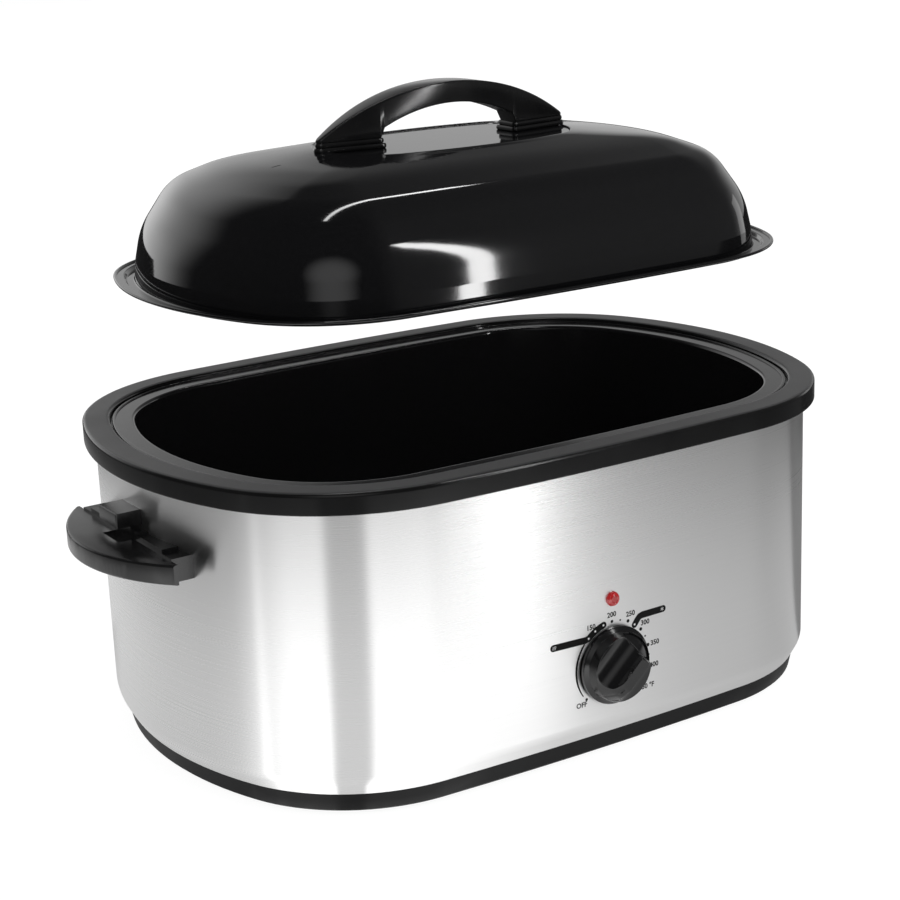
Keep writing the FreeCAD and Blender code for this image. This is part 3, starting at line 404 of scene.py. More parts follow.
def enamel(name, base, wave, gloss):
    r = Recipe(name)
    where = r.place()
    flow = r.noise(where, 38.0, 1.0)
    peel = r.noise(where, 420.0, 2.0)
    haze = r.noise(where, 9.0, 2.0)
    colour = r.blend(r.noise(where, 900.0, 2.0), base, tuple(c * 1.6 + 0.001 for c in base), 0.45, 0.8)
    normal = r.bump(peel, 0.0000035, 0.6, r.bump(flow, wave, 0.7))
    return r.finish(Base_Color=colour, Roughness=r.span(haze, gloss, gloss + 0.03), IOR=1.55, Normal=normal)


lid_enamel = enamel("lid_enamel", (0.0045, 0.0045, 0.005), 0.00003, 0.045)
pan_enamel = enamel("pan_enamel", (0.010, 0.010, 0.0105), 0.00004, 0.085)

# %% [markdown]
# ## Moulded plastics
# All are a heat-proof plastic. The rim's sides, control, lid handle and pads come from a polished
# mould, the side handles from a duller one, and the rim's flat top is grained and satin, its sheen
# painted in as a lighter grey. The grain is a small bump at a fraction of a millimetre, and the gloss
# varies softly over a few centimetres.

# %% Plastics and rubber
FINE_GRAIN, HAND = 1500.0, 22.0


def moulded(name, base, gloss, grain, fine=FINE_GRAIN):
    r = Recipe(name)
    where = r.place()
    pores, touch = r.noise(where, fine, 3.0, 0.6), r.noise(where, HAND, 3.0)
    colour = r.blend(touch, base, tuple(c * 1.35 + 0.0015 for c in base))
    return r.finish(
        Base_Color=colour, Roughness=r.span(touch, gloss - 0.03, gloss + 0.04), IOR=1.5,
        Normal=r.bump(pores, grain, 0.6),
    )


def rim_finish():
    """Polished at the sides, satin on the flat top. The change runs from 1 mm to 0.2 mm below the top. The
    top's lighter grey is painted sheen on one black plastic.
    """
    r = Recipe("rim_plastic")
    where = r.place()
    pores, touch = r.noise(where, FINE_GRAIN, 3.0, 0.6), r.noise(where, HAND, 3.0)
    satin = r.span(r.split(where)[2], 0.0, 1.0, 0.2358, 0.2366)
    sides = r.blend(touch, (0.006, 0.006, 0.0062), (0.009, 0.009, 0.0092))
    # Painted sheen: the flat top's colour is about ten times lighter than the sides' and stands in for the
    # light its satin catches.
    flat = r.blend(touch, (0.058, 0.058, 0.059), (0.068, 0.068, 0.069))
    colour = r.add("ShaderNodeMix", {"data_type": "RGBA"}, i0=satin, i6=sides, i7=flat).outputs[2]
    polished, grained = r.span(touch, 0.12, 0.17), r.span(touch, 0.33, 0.4)
    rough = r.add("ShaderNodeMix", i0=satin, i2=polished, i3=grained).outputs[0]
    return r.finish(Base_Color=colour, Roughness=rough, IOR=1.36, Normal=r.bump(pores, 0.000008, 0.6))


rim_plastic = rim_finish()
grip_plastic = moulded("grip_plastic", (0.008, 0.008, 0.0083), 0.2, 0.00001)
gloss_plastic = moulded("gloss_plastic", (0.006, 0.006, 0.0063), 0.14, 0.000006)
pad_plastic = moulded("pad_plastic", (0.006, 0.006, 0.0062), 0.1, 0.000004)
rubber = moulded("foot_rubber", (0.018, 0.018, 0.018), 0.62, 0.00005, 700.0)

# %% [markdown]
# ## The band round the foot
# The tray is painted sheet with a baked, slightly orange-peeled satin paint. Under the bright steel it
# reads as a plain dark line, so the paint stays rough and gives back only a soft sheen.

# %% Baked paint


def baked_paint():
    r = Recipe("baked_paint")
    where = r.place()
    peel = r.noise(where, 520.0, 3.0)
    wear = r.noise(where, 26.0, 4.0, 0.6)
    return r.finish(
        Base_Color=r.blend(wear, (0.007, 0.007, 0.0073), (0.011, 0.011, 0.0114)), IOR=1.25,
        Roughness=r.span(wear, 0.46, 0.56), Normal=r.bump(peel, 0.00004, 0.5),
    )


paint = baked_paint()

# %% [markdown]
# ## Bare and plated metals
# Inside the body nobody polishes anything. The liner is aluminised sheet with a faint spangle, the
# straps, screws and plates are zinc-plated with a cloudy, slightly yellow cast, the thermostat's shaft
# and nut are turned brass with fine rings, and the rack is bright chrome on drawn wire.

# %% Metals


def sheet_metal(name, dark, light, gloss, cells=260.0, grain=0.00002):
    """Spangle: each cell of a Voronoi pattern gets its own shade of the metal."""
    r = Recipe(name)
    where = r.place()
    spangle = r.cells(where, cells)
    clouds = r.noise(where, 60.0, 4.0, 0.6)
    shade = r.math("MULTIPLY_ADD", spangle, 0.4, clouds)
    return r.finish(
        Base_Color=r.blend(shade, dark, light, 0.3, 0.95), Metallic=1.0,
        Roughness=r.span(clouds, gloss, gloss + 0.14), Normal=r.bump(r.noise(where, 1400.0), grain, 0.5),
    )


def turned_metal(name, dark, light, gloss):
    """Lathe marks: fine rings across the shaft's length, which lies along Y."""
    r = Recipe(name)
    rings = r.noise(r.place((40, 2600, 40)), 1.0, 2.0)
    return r.finish(
        Base_Color=r.blend(rings, dark, light), Metallic=1.0, Roughness=r.span(rings, gloss, gloss + 0.12),
        Normal=r.bump(rings, 0.00001, 0.6),
    )


aluminised = sheet_metal("aluminised_sheet", (0.50, 0.51, 0.52), (0.70, 0.71, 0.72), 0.3)
zinc = sheet_metal("zinc_plate", (0.46, 0.46, 0.42), (0.66, 0.65, 0.60), 0.28, 900.0)
brass = turned_metal("turned_brass", (0.60, 0.43, 0.17), (0.76, 0.58, 0.28), 0.2)
chrome = sheet_metal("chromed_wire", (0.74, 0.745, 0.76), (0.84, 0.845, 0.86), 0.07, 1800.0, 0.000004)

# %% [markdown]
# ## Insulation, mica, ceramic and sleeves
# The heated parts are wrapped and carried by mineral materials: a felt of glass fibre, a band of mica
# with the resistance ribbon pressed in it, steatite blocks and leads in a braided sleeve. They sit
# between liner, wall and tray where they hardly show, and each still gets a pattern of its own.

# %% Mineral materials


def felt():
    r = Recipe("glass_felt")
    where = r.place((1, 1, 2.5))
    fibre = r.noise(where, 320.0, 6.0, 0.7)
    tufts = r.noise(where, 45.0, 3.0)
    mixed = r.math("MULTIPLY_ADD", tufts, 0.6, fibre)
    return r.finish(
        Base_Color=r.blend(mixed, (0.55, 0.50, 0.34), (0.86, 0.82, 0.66), 0.4, 1.1), Roughness=0.95,
        Sheen_Weight=0.3, Normal=r.bump(mixed, 0.0006, 0.8),
    )


def mica_band():
    r = Recipe("mica_band")
    flakes = r.cells(r.place(), 420.0)
    ribbon = r.wave("Z", r.place(), 38.0, 0.4)
    return r.finish(
        Base_Color=r.blend(flakes, (0.42, 0.35, 0.24), (0.66, 0.60, 0.47), 0.1, 0.9), Metallic=0.1,
        Roughness=r.span(ribbon, 0.3, 0.55, 0.0, 1.0), Normal=r.bump(ribbon, 0.0003, 0.6),
    )


def steatite():
    r = Recipe("steatite")
    where = r.place()
    return r.finish(
        Base_Color=r.blend(r.noise(where, 240.0, 5.0, 0.7), (0.74, 0.72, 0.66), (0.88, 0.87, 0.83)),
        Roughness=r.span(r.noise(where, 90.0), 0.4, 0.6), Normal=r.bump(r.noise(where, 1500.0), 0.00003, 0.5),
    )


def braid():
    r = Recipe("braided_sleeve")
    weave = r.math("MAXIMUM", *(r.wave("DIAGONAL", r.place((way, 1, 1)), 420.0) for way in (1, -1)))
    return r.finish(
        Base_Color=r.blend(weave, (0.30, 0.045, 0.025), (0.56, 0.12, 0.07), 0.2, 0.9),
        Roughness=0.6, Normal=r.bump(weave, 0.00015, 0.7),
    )


glass_felt, mica, ceramic, sleeve = felt(), mica_band(), steatite(), braid()

# %% [markdown]
# ## Lens and lamp
# The pilot lamp sits behind a small red dome. Clear red plastic on a bright wall would need many
# passes of light to look right, so the lens is a deep red body with a clear coat, and a weak glow of
# its own stands in for the light that gathers in its rim. The middle stays darker.

# %% Lens and lamp glass
LENS_PLACE = to_frame((SHAFT_X, WALL_Y, LENS_Z))[0]


def red_lens():
    r = Recipe("red_lens")
    where = r.spot()
    face = tuple(LENS_PLACE + (0, -0.0034, 0))
    away = r.add("ShaderNodeVectorMath", {"operation": "DISTANCE"}, i0=where, i1=face).outputs["Value"]
    ring = r.span(away, 0.0, 1.0, 0.0024, 0.0042)
    facets = r.noise(where, 900.0, 1.0)
    # Painted glow: a weak light of the lens's own, bright in its rim and darker in the middle, stands in for
    # lamp light gathered there.
    painted_rim_glow = r.blend(ring, (0.30, 0.012, 0.012), (0.95, 0.05, 0.06), 0.0, 1.0)
    return r.finish(
        Base_Color=r.blend(facets, (0.30, 0.006, 0.008), (0.42, 0.012, 0.014)),
        Roughness=0.14, Coat_Weight=0.6, Coat_Roughness=0.03, Emission_Color=painted_rim_glow,
        Emission_Strength=0.13, Normal=r.bump(facets, 0.00004, 0.4),
    )


def bulb_glass():
    r = Recipe("lamp_glass")
    streak = r.noise(r.place((200, 900, 200)), 1.0, 2.0)
    return r.finish(
        Base_Color=r.blend(streak, (0.80, 0.42, 0.20), (0.95, 0.62, 0.36)),
        Roughness=r.span(streak, 0.05, 0.12), Transmission_Weight=0.6, Coat_Weight=0.5,
    )


lens_red, lamp_glass = red_lens(), bulb_glass()
print("finishes:", len(bpy.data.materials))

# %% [markdown]
# ## Steel wrap
# The wall is one long sheet bent round the oval, with its foot curled in over the band. A box with
# rounded corners would have the wrong plan. The section is drawn once, as a closed outline of both
# faces, and swept round. Holes for shaft, lens and cord bushing are cut afterwards with plain
# cutters, because a hole on a grid is quicker cut than woven in.

# %% Wrap with its holes


def cut_out(target, outline, way):
    """Cut away what an outline sweeps over on its way, both in drawing millimetres."""
    outline = np.asarray(outline, float)
    sides = len(outline)
    points = to_frame(np.vstack([outline, outline + np.asarray(way, float)]))
    k = np.arange(sides)
    walls = np.column_stack([k, (k + 1) % sides, sides + (k + 1) % sides, sides + k]).tolist()
    mesh = bpy.data.meshes.new("cutter")
    mesh.from_pydata(points.tolist(), [], walls + [k[::-1].tolist(), (k + sides).tolist()])
    clean(mesh)
    cutter = placed("cutter", mesh)
    hole = target.modifiers.new("hole", "BOOLEAN")
    hole.object, hole.solver = cutter, "EXACT"
    cut = worked_out(target)
    target.modifiers.remove(hole)
    old, name = target.data, target.data.name
    target.data = cut
    bpy.data.meshes.remove(old)
    cut.name = name
    bpy.data.objects.remove(cutter)


def drill(target, radius, x, y, z, length, sides=40):
    """Cut a round hole that runs backwards from y."""
    t = full_turn(sides)
    circle = np.column_stack([x + radius * np.cos(t), np.full(sides, y), z + radius * np.sin(t)])
    cut_out(target, circle, (0, length, 0))


def front_y(x, inset=8.4):
    """Y of the front wall at x: the long side's circle, radius 2890 less the inset, about y 2689.3."""
    return 2689.3 - np.sqrt((2890.0 - inset) ** 2 - np.asarray(x, float) ** 2)


wrap_section = rounded(
    [(8.4, 228, 0.25), (8.4, 27.5, 14), (15.0, 17.8, 0.25), (14.35, 17.35, 0.1), (9.2, 26.9, 13.2),
     (9.2, 228, 0.25)],
    closed=True, stride=12.0,
)
wrap = swept_piece("steel_wrap", oval_sweep(wrap_section), "base", steel, ["outer_shell"], "brushed_steel")
drill(wrap, 5.0, SHAFT_X, -200, SHAFT_Z, 20)
drill(wrap, 4.3, SHAFT_X, -200, LENS_Z, 20)
drill(wrap, 8.0, 112, 178, 48, 24)
print("wrap drilled,", len(wrap.data.polygons), "faces")

# %% [markdown]
# ## Lap and rivets
# The sheet's two ends meet at the back, one over the other, and four blind rivets hold them. The lap
# is a narrow plate of the same steel with folded edges. The rivets are turned shapes about an axis
# that points backwards, so a lathe function makes them, and the feet, rack legs and lens later on.

# %% Lathe


def lathe(outline, sides=48):
    """Turn an outline of (radius, height) about Z: x = r cos t, y = r sin t. Ends on the axis close it."""
    o = np.asarray(outline, float)
    t = full_turn(sides)[:, None]
    points = np.dstack([np.cos(t) * o[:, 0], np.sin(t) * o[:, 0], np.broadcast_to(o[:, 1], (sides, len(o)))])
    return points.reshape(-1, 3), grid_faces(sides, len(o))


def facing(points, way):
    """Turn a shape made about Z so that its Z looks along way: front or back."""
    turns = {"front": ((1, 0, 0), (0, 0, -1), (0, 1, 0)), "back": ((1, 0, 0), (0, 0, 1), (0, -1, 0))}
    return np.asarray(points) @ np.array(turns[way], float).T


def collect(shapes):
    """Several shapes as one list of points and one of faces."""
    starts = np.cumsum([0] + [len(p) for p, _ in shapes[:-1]])
    faces = [f + start for (_, f), start in zip(shapes, starts)]
    return np.concatenate([p for p, _ in shapes]), np.concatenate(faces)


def many(points, faces, places):
    """Copies of one shape at several places."""
    return collect([(points + np.asarray(place, float), faces) for place in places])


def four_corners(x, y):
    """A place at x and y, mirrored left and right, front and back."""
    return [(sx * x, sy * y, 0) for sx in (-1, 1) for sy in (-1, 1)]


lap_plan = rounded([(-7, 192.2, 0), (-7, 193.1, 0.4), (7, 193.1, 0.4), (7, 192.2, 0)], closed=True, steps=4)
lap_rows = np.array([30.0, 30.0, 30.4, 80, 130, 180, 218.6, 219.0, 219.0])
lap_plans = np.repeat(lap_plan[None], len(lap_rows), 0)
lap_plans[[0, -1]] = (0.0, 192.7)
lap_points = np.dstack([lap_plans, np.repeat(lap_rows[:, None], len(lap_plan), 1)])
lap_faces = grid_faces(len(lap_rows), len(lap_plan), False, True)
lap_layout = lap_points.reshape(-1, 3)[lap_faces][:, :, [0, 2]] / 1000
piece("wrap_lap", lap_points, lap_faces, "base", steel, (), "brushed_steel", uv=lap_layout)
rivet_outline = rounded([(0, 1.2, 0), (1.6, 1.2, 0.6), (2.9, 0.4, 0.3), (2.9, 0, 0), (1.5, 0, 0),
                         (1.5, -2.2, 0), (2.1, -2.4, 0.2), (2.1, -4.6, 0.5), (0, -4.6, 0)], stride=4)
rivet, rivet_faces = lathe(rivet_outline, 28)
rivet = facing(rivet, "back")
piece("rivets", *many(rivet, rivet_faces, [(0, 193.1, z) for z in (45, 99, 153, 207)]), "base", zinc,
      ["seam_rivets"], "plated_steel")

# %% [markdown]
# ## Rim
# The rim is one moulded ring that grips the wrap's edge in a groove, covers it with a skirt and
# carries liner and pan on a ledge inside. Its outer corner has the largest radius, and that radius
# draws the long bright line round the top of the body.

# %% Rim
rim_section = rounded(
    [(0, 221.4, 0.5), (0, 236.8, 3.0), (20.5, 236.8, 4.0), (20.5, 231.3, 0.8), (29.5, 231.3, 0.7),
     (29.5, 228.9, 0.6), (18.1, 228.9, 0.5), (18.1, 234.0, 0.4), (11.3, 234.4, 0.3),
     (11.3, 228.2, 0.3), (6.3, 228.2, 0.3), (6.3, 234.4, 0.3), (2.4, 234.4, 0.4), (2.4, 221.4, 0.5)],
    closed=True, steps=8, stride=8.0,
)
swept_piece("rim", oval_sweep(rim_section), "base", rim_plastic, ["rim_collar"], "black_plastic")

# %% [markdown]
# ## Tray band, feet and floor
# From outside the tray is a dark band that leans in towards the floor. Its flat bottom has bosses,
# slots and drillings. They are true in the construction already, so the tray is a softened copy of it:
# loose triangles joined, flat regions dissolved, curved ones smooth.

# %% Softened copies of construction pieces


def softened(node, name, finish, body, bevel=0.0, angle=30.0, flat=0.6, segments=2):
    """A construction piece with its loose triangles joined, flat regions dissolved and edges rounded."""
    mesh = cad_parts[node].data.copy()
    mesh.name = name
    mesh.materials.clear()
    clean(mesh, flat)
    mesh.shade_smooth()
    mesh.set_sharp_from_angle(angle=math.radians(angle))
    made = placed(name, mesh)
    made.data.materials.append(finish)
    if bevel:
        soft = made.modifiers.new("edge", "BEVEL")
        soft.width, soft.segments, soft.limit_method = bevel / 1000, segments, "ANGLE"
        soft.angle_limit = math.radians(angle)
        soft.harden_normals = True
        soft.use_clamp_overlap = True
    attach(made, body)
    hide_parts(node)
    print(name, len(mesh.polygons), "faces from", node)
    return made


softened("base_tray", "tray", paint, "base")

foot_outline = rounded([(1.9, 1.8, 0), (4.3, 1.8, 0.2), (4.3, 0.0, 0.3), (11.0, 0.0, 0.6), (10.6, 2.8, 0.3),
                        (1.9, 2.8, 0), (1.9, 1.8, 0)], stride=3, steps=4)
foot, foot_faces = lathe(foot_outline, 48)
feet = many(foot, foot_faces, four_corners(170, 118))
piece("feet", *feet, "base", rubber, ["rubber_feet"], "black_rubber")

# %% [markdown]
# ## Cooking pan
# The pan is drawn from one sheet: a beaded rim that hangs on the ledge, a wall that tapers so pans
# can be stacked, a wide bend and a flat floor. Both faces are one closed surface, with a thin wall
# between them, so that the edge has a real thickness. Towards the middle of the floor the rings
# shrink to a point, and the points there are merged.

# %% Pan and other drawn sheets


def offset(line, thick):
    """The same line moved to its left by thick: each point along the mean of its two runs' normals."""
    run = unit(np.diff(line, axis=0))
    left = np.column_stack([-run[:, 1], run[:, 0]])
    at = unit(np.vstack([left[:1], left[:-1] + left[1:], left[-1:]]))
    along = np.vstack([left[:1], left])
    return line + at * thick / np.sum(at * along, 1)[:, None]


def floor_rings(edge, heights, shares):
    """Rings inside an edge loop, each the loop shrunk about the middle to a share of its size."""
    ring = edge[:, None, :2] * np.asarray(shares)[None, :, None]
    height = np.broadcast_to(np.asarray(heights, float), ring.shape[:2])
    return np.dstack([ring, height])


SHEET = 1.0
FLOOR = (0.86, 0.7, 0.5, 0.3, 0.12, 0.0)


def drawn_sheet(inside, reach, floor, edge=()):
    """From the inside's middle out to the rim, round its edge and back along the outside. The floor is
    a plate at the given height, and starts where the section has come in by reach."""
    loop = drawn_in(BODY, reach)[:, 0]
    parts = [floor_rings(loop, floor, FLOOR)[:, ::-1], *(oval_sweep(part) for part in (inside[::-1], *edge))]
    parts += [oval_sweep(offset(inside, -SHEET)), floor_rings(loop, floor - SHEET, FLOOR)]
    return np.concatenate(parts, axis=1)


pan_inside = rounded([(24.6, 233.3, 0), (39.0, 233.3, 2.5), (52.0, 72.0, 13.0), (70.0, 72.0, 0)], steps=10)
bead = rounded([(24.6, 233.3, 0), (24.6, 234.3, 0.9), (22.0, 234.3, 0.9), (22.0, 232.3, 0.9),
                (24.6, 232.3, 0)], steps=5)[1:]
pan = drawn_sheet(pan_inside, 70.0, 72.0, [bead[:-1]])
piece("pan", pan, grid_faces(*pan.shape[:2]), "pan", pan_enamel, ["cooking_pan"], "black_enamel")

# %% [markdown]
# ## Liner
# Under the pan hangs the liner, the same shape a little larger, bare aluminised sheet. It shows when
# the pan is lifted out, so it is made as carefully as the pan, by the same steps.

# %% Liner
liner_inside = rounded([(22.0, 232.3, 0), (32.8, 232.3, 1.5), (45.4, 61.0, 14.0), (64.0, 61.0, 0)], steps=8)
liner = drawn_sheet(liner_inside, 64.0, 61.0)
piece("liner", liner, grid_faces(*liner.shape[:2]), "base", aluminised, ["well_liner"], "aluminised_steel")

# %% [markdown]
# ## Lid
# The lid is the widest reflecting surface and decides the picture. From its beaded edge a gutter drops
# into the pan and catches the condensation. Then comes a steep wall, a round shoulder and a crown
# that rises to a flat plateau under the handle. Wall and shoulder follow the body's oval. The crown
# changes from that oval to the plateau's smaller one, so each station has its own straight run
# between the two, and a curve smooths the crease where the run starts. A narrow slit on the left
# lets the steam out. The underside of the edge is drawn a hair high, so that the closed lid clears
# the pan's rim instead of sharing its surface.

# %% Lid surface
CREASE_INSET, CREASE_Z, CREASE_SHARE = 115.0, 82.0, 0.34
CROWN_TOP, DISH_Z = 89.0, 87.8


def lid_surface(line, lift):
    """Edge to middle along each station: swept line, a curved crease, the ruled crown, the plateau.
    The height of the inner part is lowered by lift, which is the sheet's thickness underneath."""
    wall = oval_sweep(line)
    foot = wall[:, -1:]
    tip = np.dstack([drawn_in(PLATEAU, 0.0), np.full((len(BODY), 1), CROWN_TOP - lift)])
    corner = np.dstack([drawn_in(BODY, CREASE_INSET), np.full((len(BODY), 1), CREASE_Z - lift)])
    t = np.linspace(0, 1, 9)[1:][None, :, None]
    after = corner + (tip - corner) * CREASE_SHARE
    crease = foot * (1 - t) ** 2 + corner * 2 * t * (1 - t) + after * t**2
    s = np.linspace(0, 1, 9)[1:-1][None, :, None]
    crown = after + (tip - after) * s
    lip = rounded([(-3.0, 88.72, 0), (0.3, 89.05, 1.6), (1.7, DISH_Z, 0.9), (5.0, DISH_Z, 0)], steps=6)
    lip = lip - (0, lift)
    rolled = np.dstack([drawn_in(PLATEAU, lip[:, 0]), np.broadcast_to(lip[:, 1], (len(BODY), len(lip)))])
    middle = floor_rings(drawn_in(PLATEAU, 5.0)[:, 0], DISH_Z - lift, (0.85, 0.65, 0.42, 0.2, 0.0))
    return np.concatenate([wall, crease, crown[:, :-1], rolled, middle], axis=1)


lid_line = rounded(
    [(34.6, 1.0, 0), (39.6, 1.0, 0.9), (41.4, -2.0, 0.9), (47.3, -2.0, 1.2), (48.9, 12.0, 8.0),
     (54.0, 35.0, 60.0), (77.0, 68.0, 40.0), (103.0, 77.58, 0)],
    steps=12, stride=4.0,
)
SEAT_GAP = 0.06
lid_under = offset(lid_line, SEAT_GAP - SHEET)
lid_bead = rounded([(34.6, SEAT_GAP, 0), (34.4, SEAT_GAP, 0), (32.0, SEAT_GAP, 1.05), (32.0, 2.25, 1.05),
                    (34.5, 2.25, 1.0), (34.6, 1.0, 0)], steps=6)[1:-1]
top = lid_surface(lid_line, 0.0)
under = lid_surface(lid_under, SHEET)
lid = np.concatenate([under[:, ::-1], oval_sweep(lid_bead), top], axis=1)
lid_piece = piece("lid", lid + LID_PLACE, grid_faces(*lid.shape[:2]), "lid", lid_enamel, ["lid_shell"],
                  "black_enamel")
slit = np.array([(-149, -10.8, 70), (-142, -10.8, 70), (-142, -9.2, 70), (-149, -9.2, 70)]) + LID_PLACE
cut_out(lid_piece, slit, (0, 0, 30))

# %% [markdown]
# ## Lid handle and its pads
# The handle is an arch with a leaf-shaped outline: broad in the middle, pointed at its feet, thin over
# the hand and deep over the feet. Its cross-section is a rounded rectangle whose width follows the
# leaf and whose top and bottom follow two arcs, so a loft along its length gives it in one piece.

# %% Arch


def leaf_half(x, margin=0.0):
    """Half the leaf's width at x: a large bowed circle, and a small one round the tip."""
    length, width, tip = 107.0 + margin, 14.0 + margin, 4.0 + margin
    tip_x = length - tip
    bow = (tip_x**2 - (width - tip) ** 2) / (2 * (width - tip))
    lean = math.atan2(tip_x, bow)
    x = np.abs(x)
    side = np.sqrt((bow + width) ** 2 - np.minimum(x, tip_x + tip * math.sin(lean)) ** 2) - bow
    end = np.sqrt(np.maximum(tip**2 - (x - tip_x) ** 2, 0))
    return np.where(x < tip_x + tip * math.sin(lean), side, end)


def arc_height(x, half, low, high):
    """Height of the circle through (-half, low), (0, high) and (half, low)."""
    rise = high - low
    radius = (half**2 + rise**2) / (2 * rise)
    return high - radius + np.sqrt(radius**2 - np.asarray(x) ** 2)


def rounded_loops(half, low, high, radii, steps=5):
    """Rounded rectangles across X, one per station: four quarter turns round inset corner centres.
    Radii are top and bottom; each is held under half the width and half the height."""
    t = np.linspace(0, np.pi / 2, steps + 1)
    loops = []
    tall = (high - low) / 2
    for quarter, (sy, sz) in enumerate(((1, 1), (-1, 1), (-1, -1), (1, -1))):
        r = np.minimum(np.minimum(radii[0] if sz > 0 else radii[1], half * 0.96), tall * 0.96)[:, None]
        a = t[None, :] + quarter * np.pi / 2
        middle_y, middle_z = sy * (half[:, None] - r), (high[:, None] - r) if sz > 0 else (low[:, None] + r)
        loops.append(np.dstack([middle_y + r * np.cos(a), middle_z + r * np.sin(a)]))
    return np.concatenate(loops, axis=1)


ARCH_BASE, ARCH_TOP = 95.0, 130.7
tip_turn = np.sin(np.linspace(0, np.pi / 2, 9)[1:])
outer = np.concatenate([np.linspace(59.4, 102.5, 16), 102.6 + 4.4 * tip_turn])
inner = np.concatenate([np.linspace(0, 54, 15), [55.2, 55.8, 56.0, 56.4, 57.5, 58.6, 59.0]])
along = np.concatenate([inner, outer])
along = np.concatenate([-along[:0:-1], along])
top_z = arc_height(along, 108.0, ARCH_BASE + 1.2, ARCH_TOP)
gap_z = arc_height(np.minimum(np.abs(along), 56.0), 56.0, ARCH_BASE + 7.0, 115.2)
slope = np.clip((59.0 - np.abs(along)) / 3.0, 0, 1)
low_z = np.where(np.abs(along) <= 56.0, gap_z, ARCH_BASE + 7.0 * slope)
width = leaf_half(along)
width[[0, -1]] = 0.01
loops = rounded_loops(width, low_z, top_z, (1.9, 0.9))
arch = np.dstack([np.broadcast_to(along[:, None], loops.shape[:2]), loops])
arch_faces = grid_faces(*arch.shape[:2], False, True)
tips = [np.arange(arch.shape[1])[::-1], np.arange(arch.shape[1]) + (len(along) - 1) * arch.shape[1]]
half_tip = np.arange(arch.shape[1] // 2 - 1)
caps = [np.stack([e[half_tip], e[half_tip + 1], e[-2 - half_tip], e[-1 - half_tip]], axis=1) for e in tips]
piece("lid_grip", arch + LID_PLACE, np.vstack([arch_faces, *caps]), "lid", gloss_plastic,
      ["lid_handle"], "black_plastic", 50)

# %% [markdown]
# ## Pads
# Between arch and lid lie two stacked rings at each foot, one a little larger than the other, each
# with a full round edge. The outline is the leaf's tip, cut off straight towards the middle. Moving the
# outline in along its own normal as the height goes through a half circle gives the bulging edge.

# %% Stacked rings


def pad_outline(margin):
    """Leaf tip from its inner end round the point and back, with rounded inner corners."""
    first = 57.5 - margin
    tip_x = 103.0
    point = tip_x + (4 + margin) * np.sin(np.linspace(0, np.pi / 2, 10)[1:])
    x = np.concatenate([np.linspace(first + 2.4, tip_x, 22), point])
    y = leaf_half(x, margin)
    y[-1] = 0
    t = np.linspace(np.pi, np.pi / 2, 6)
    y0 = y[0]
    corner = np.column_stack([first + 2.4 + 2.4 * np.cos(t), y0 - 2.4 + 2.4 * np.sin(t)])[:-1]
    half = np.vstack([corner, np.column_stack([x, y])])
    straight = np.column_stack([np.full(7, first), np.linspace(0, corner[0, 1], 8)[:-1]])
    half = np.vstack([straight, half])
    return np.vstack([half, half[-2:0:-1] * (1, -1)])


def ring_between(outline, low, high, edge):
    """Outline moved inwards by edge * (1 - sin) while the height goes from low to high by -cos."""
    run = unit(np.roll(outline, -1, 0) - np.roll(outline, 1, 0))
    inward = np.column_stack([run[:, 1], -run[:, 0]])
    t = np.linspace(0, np.pi, 9)
    go_in = edge * (1 - np.sin(t))
    xy = outline[:, None, :] + inward[:, None, :] * go_in[None, :, None]
    z = np.broadcast_to((low + high) / 2 - (high - low) / 2 * np.cos(t), xy.shape[:2])
    return np.dstack([xy, z])


def closed_rings(parts):
    """Rings joined up and shut with a point in the middle of the first and the last loop."""
    body = np.concatenate(parts, axis=1)
    ends = (body[:, :1], body[:, -1:])
    first, last = (np.broadcast_to(ring.mean(0, keepdims=True), ring.shape) for ring in ends)
    return np.concatenate([first, body, last], axis=1)


PAD_RINGS = ((2.0, 87.85, 91.45), (0.8, 91.45, 95.05))
pad = closed_rings([ring_between(pad_outline(margin), low, high, 1.1) for margin, low, high in PAD_RINGS])
pad_faces = grid_faces(*pad.shape[:2])
pad = pad.reshape(-1, 3)
both_pads, both_faces = collect([(pad, pad_faces), (pad * (-1, 1, 1), pad_faces[:, ::-1])])
piece("lid_pads", both_pads + LID_PLACE, both_faces, "lid", pad_plastic, ["lid_handle_pads"],
      "black_plastic", 60)

# %% [markdown]
# ## Side handles
# A side handle is a moulding with many flat faces: a D-shaped shelf with a slot, a hook above the
# slot and a flange that steps out from the wall. Its shape is exact in the construction. What it
# lacks is the mould's small edge radius, which a bevel on the joined copy adds.

# %% Side handles
for side in ("left", "right"):
    softened("handle_" + side, "side_handle_" + side, grip_plastic, "base", 0.7, 28, 0.4, 3)

# %% [markdown]
# ## Control
# The knob is a turned dome, scooped out on both sides of a grip bar that points the way. Each scoop is
# part of a cylinder that lies along the bar. Seen from the front every point of the dome has one
# height, so the knob is a height over radius and angle, and a scoop simply takes the lower of two
# heights. Rounding that choice a little gives the scoop the soft edge of a moulding.

# %% Knob
POINTER = math.radians(-131.5)
DOME_TOP = 27.0
SCOOP_X, SCOOP_Z, SCOOP_RADIUS = 20.6, 29.0, 16.0
CAP_RADIUS, CAP_MIDDLE = 39.2, -22.2
TAIL_END, TAIL_SLOPE = -12.5, 3.2
GROOVE_START, GROOVE_DEPTH = 12.4, 0.9


def soft_min(a, b, width):
    """The lower of two heights, blended over width so that their meeting line is rounded."""
    h = np.clip(0.5 + 0.5 * (b - a) / width, 0, 1)
    return b * (1 - h) + a * h - width * h * (1 - h)


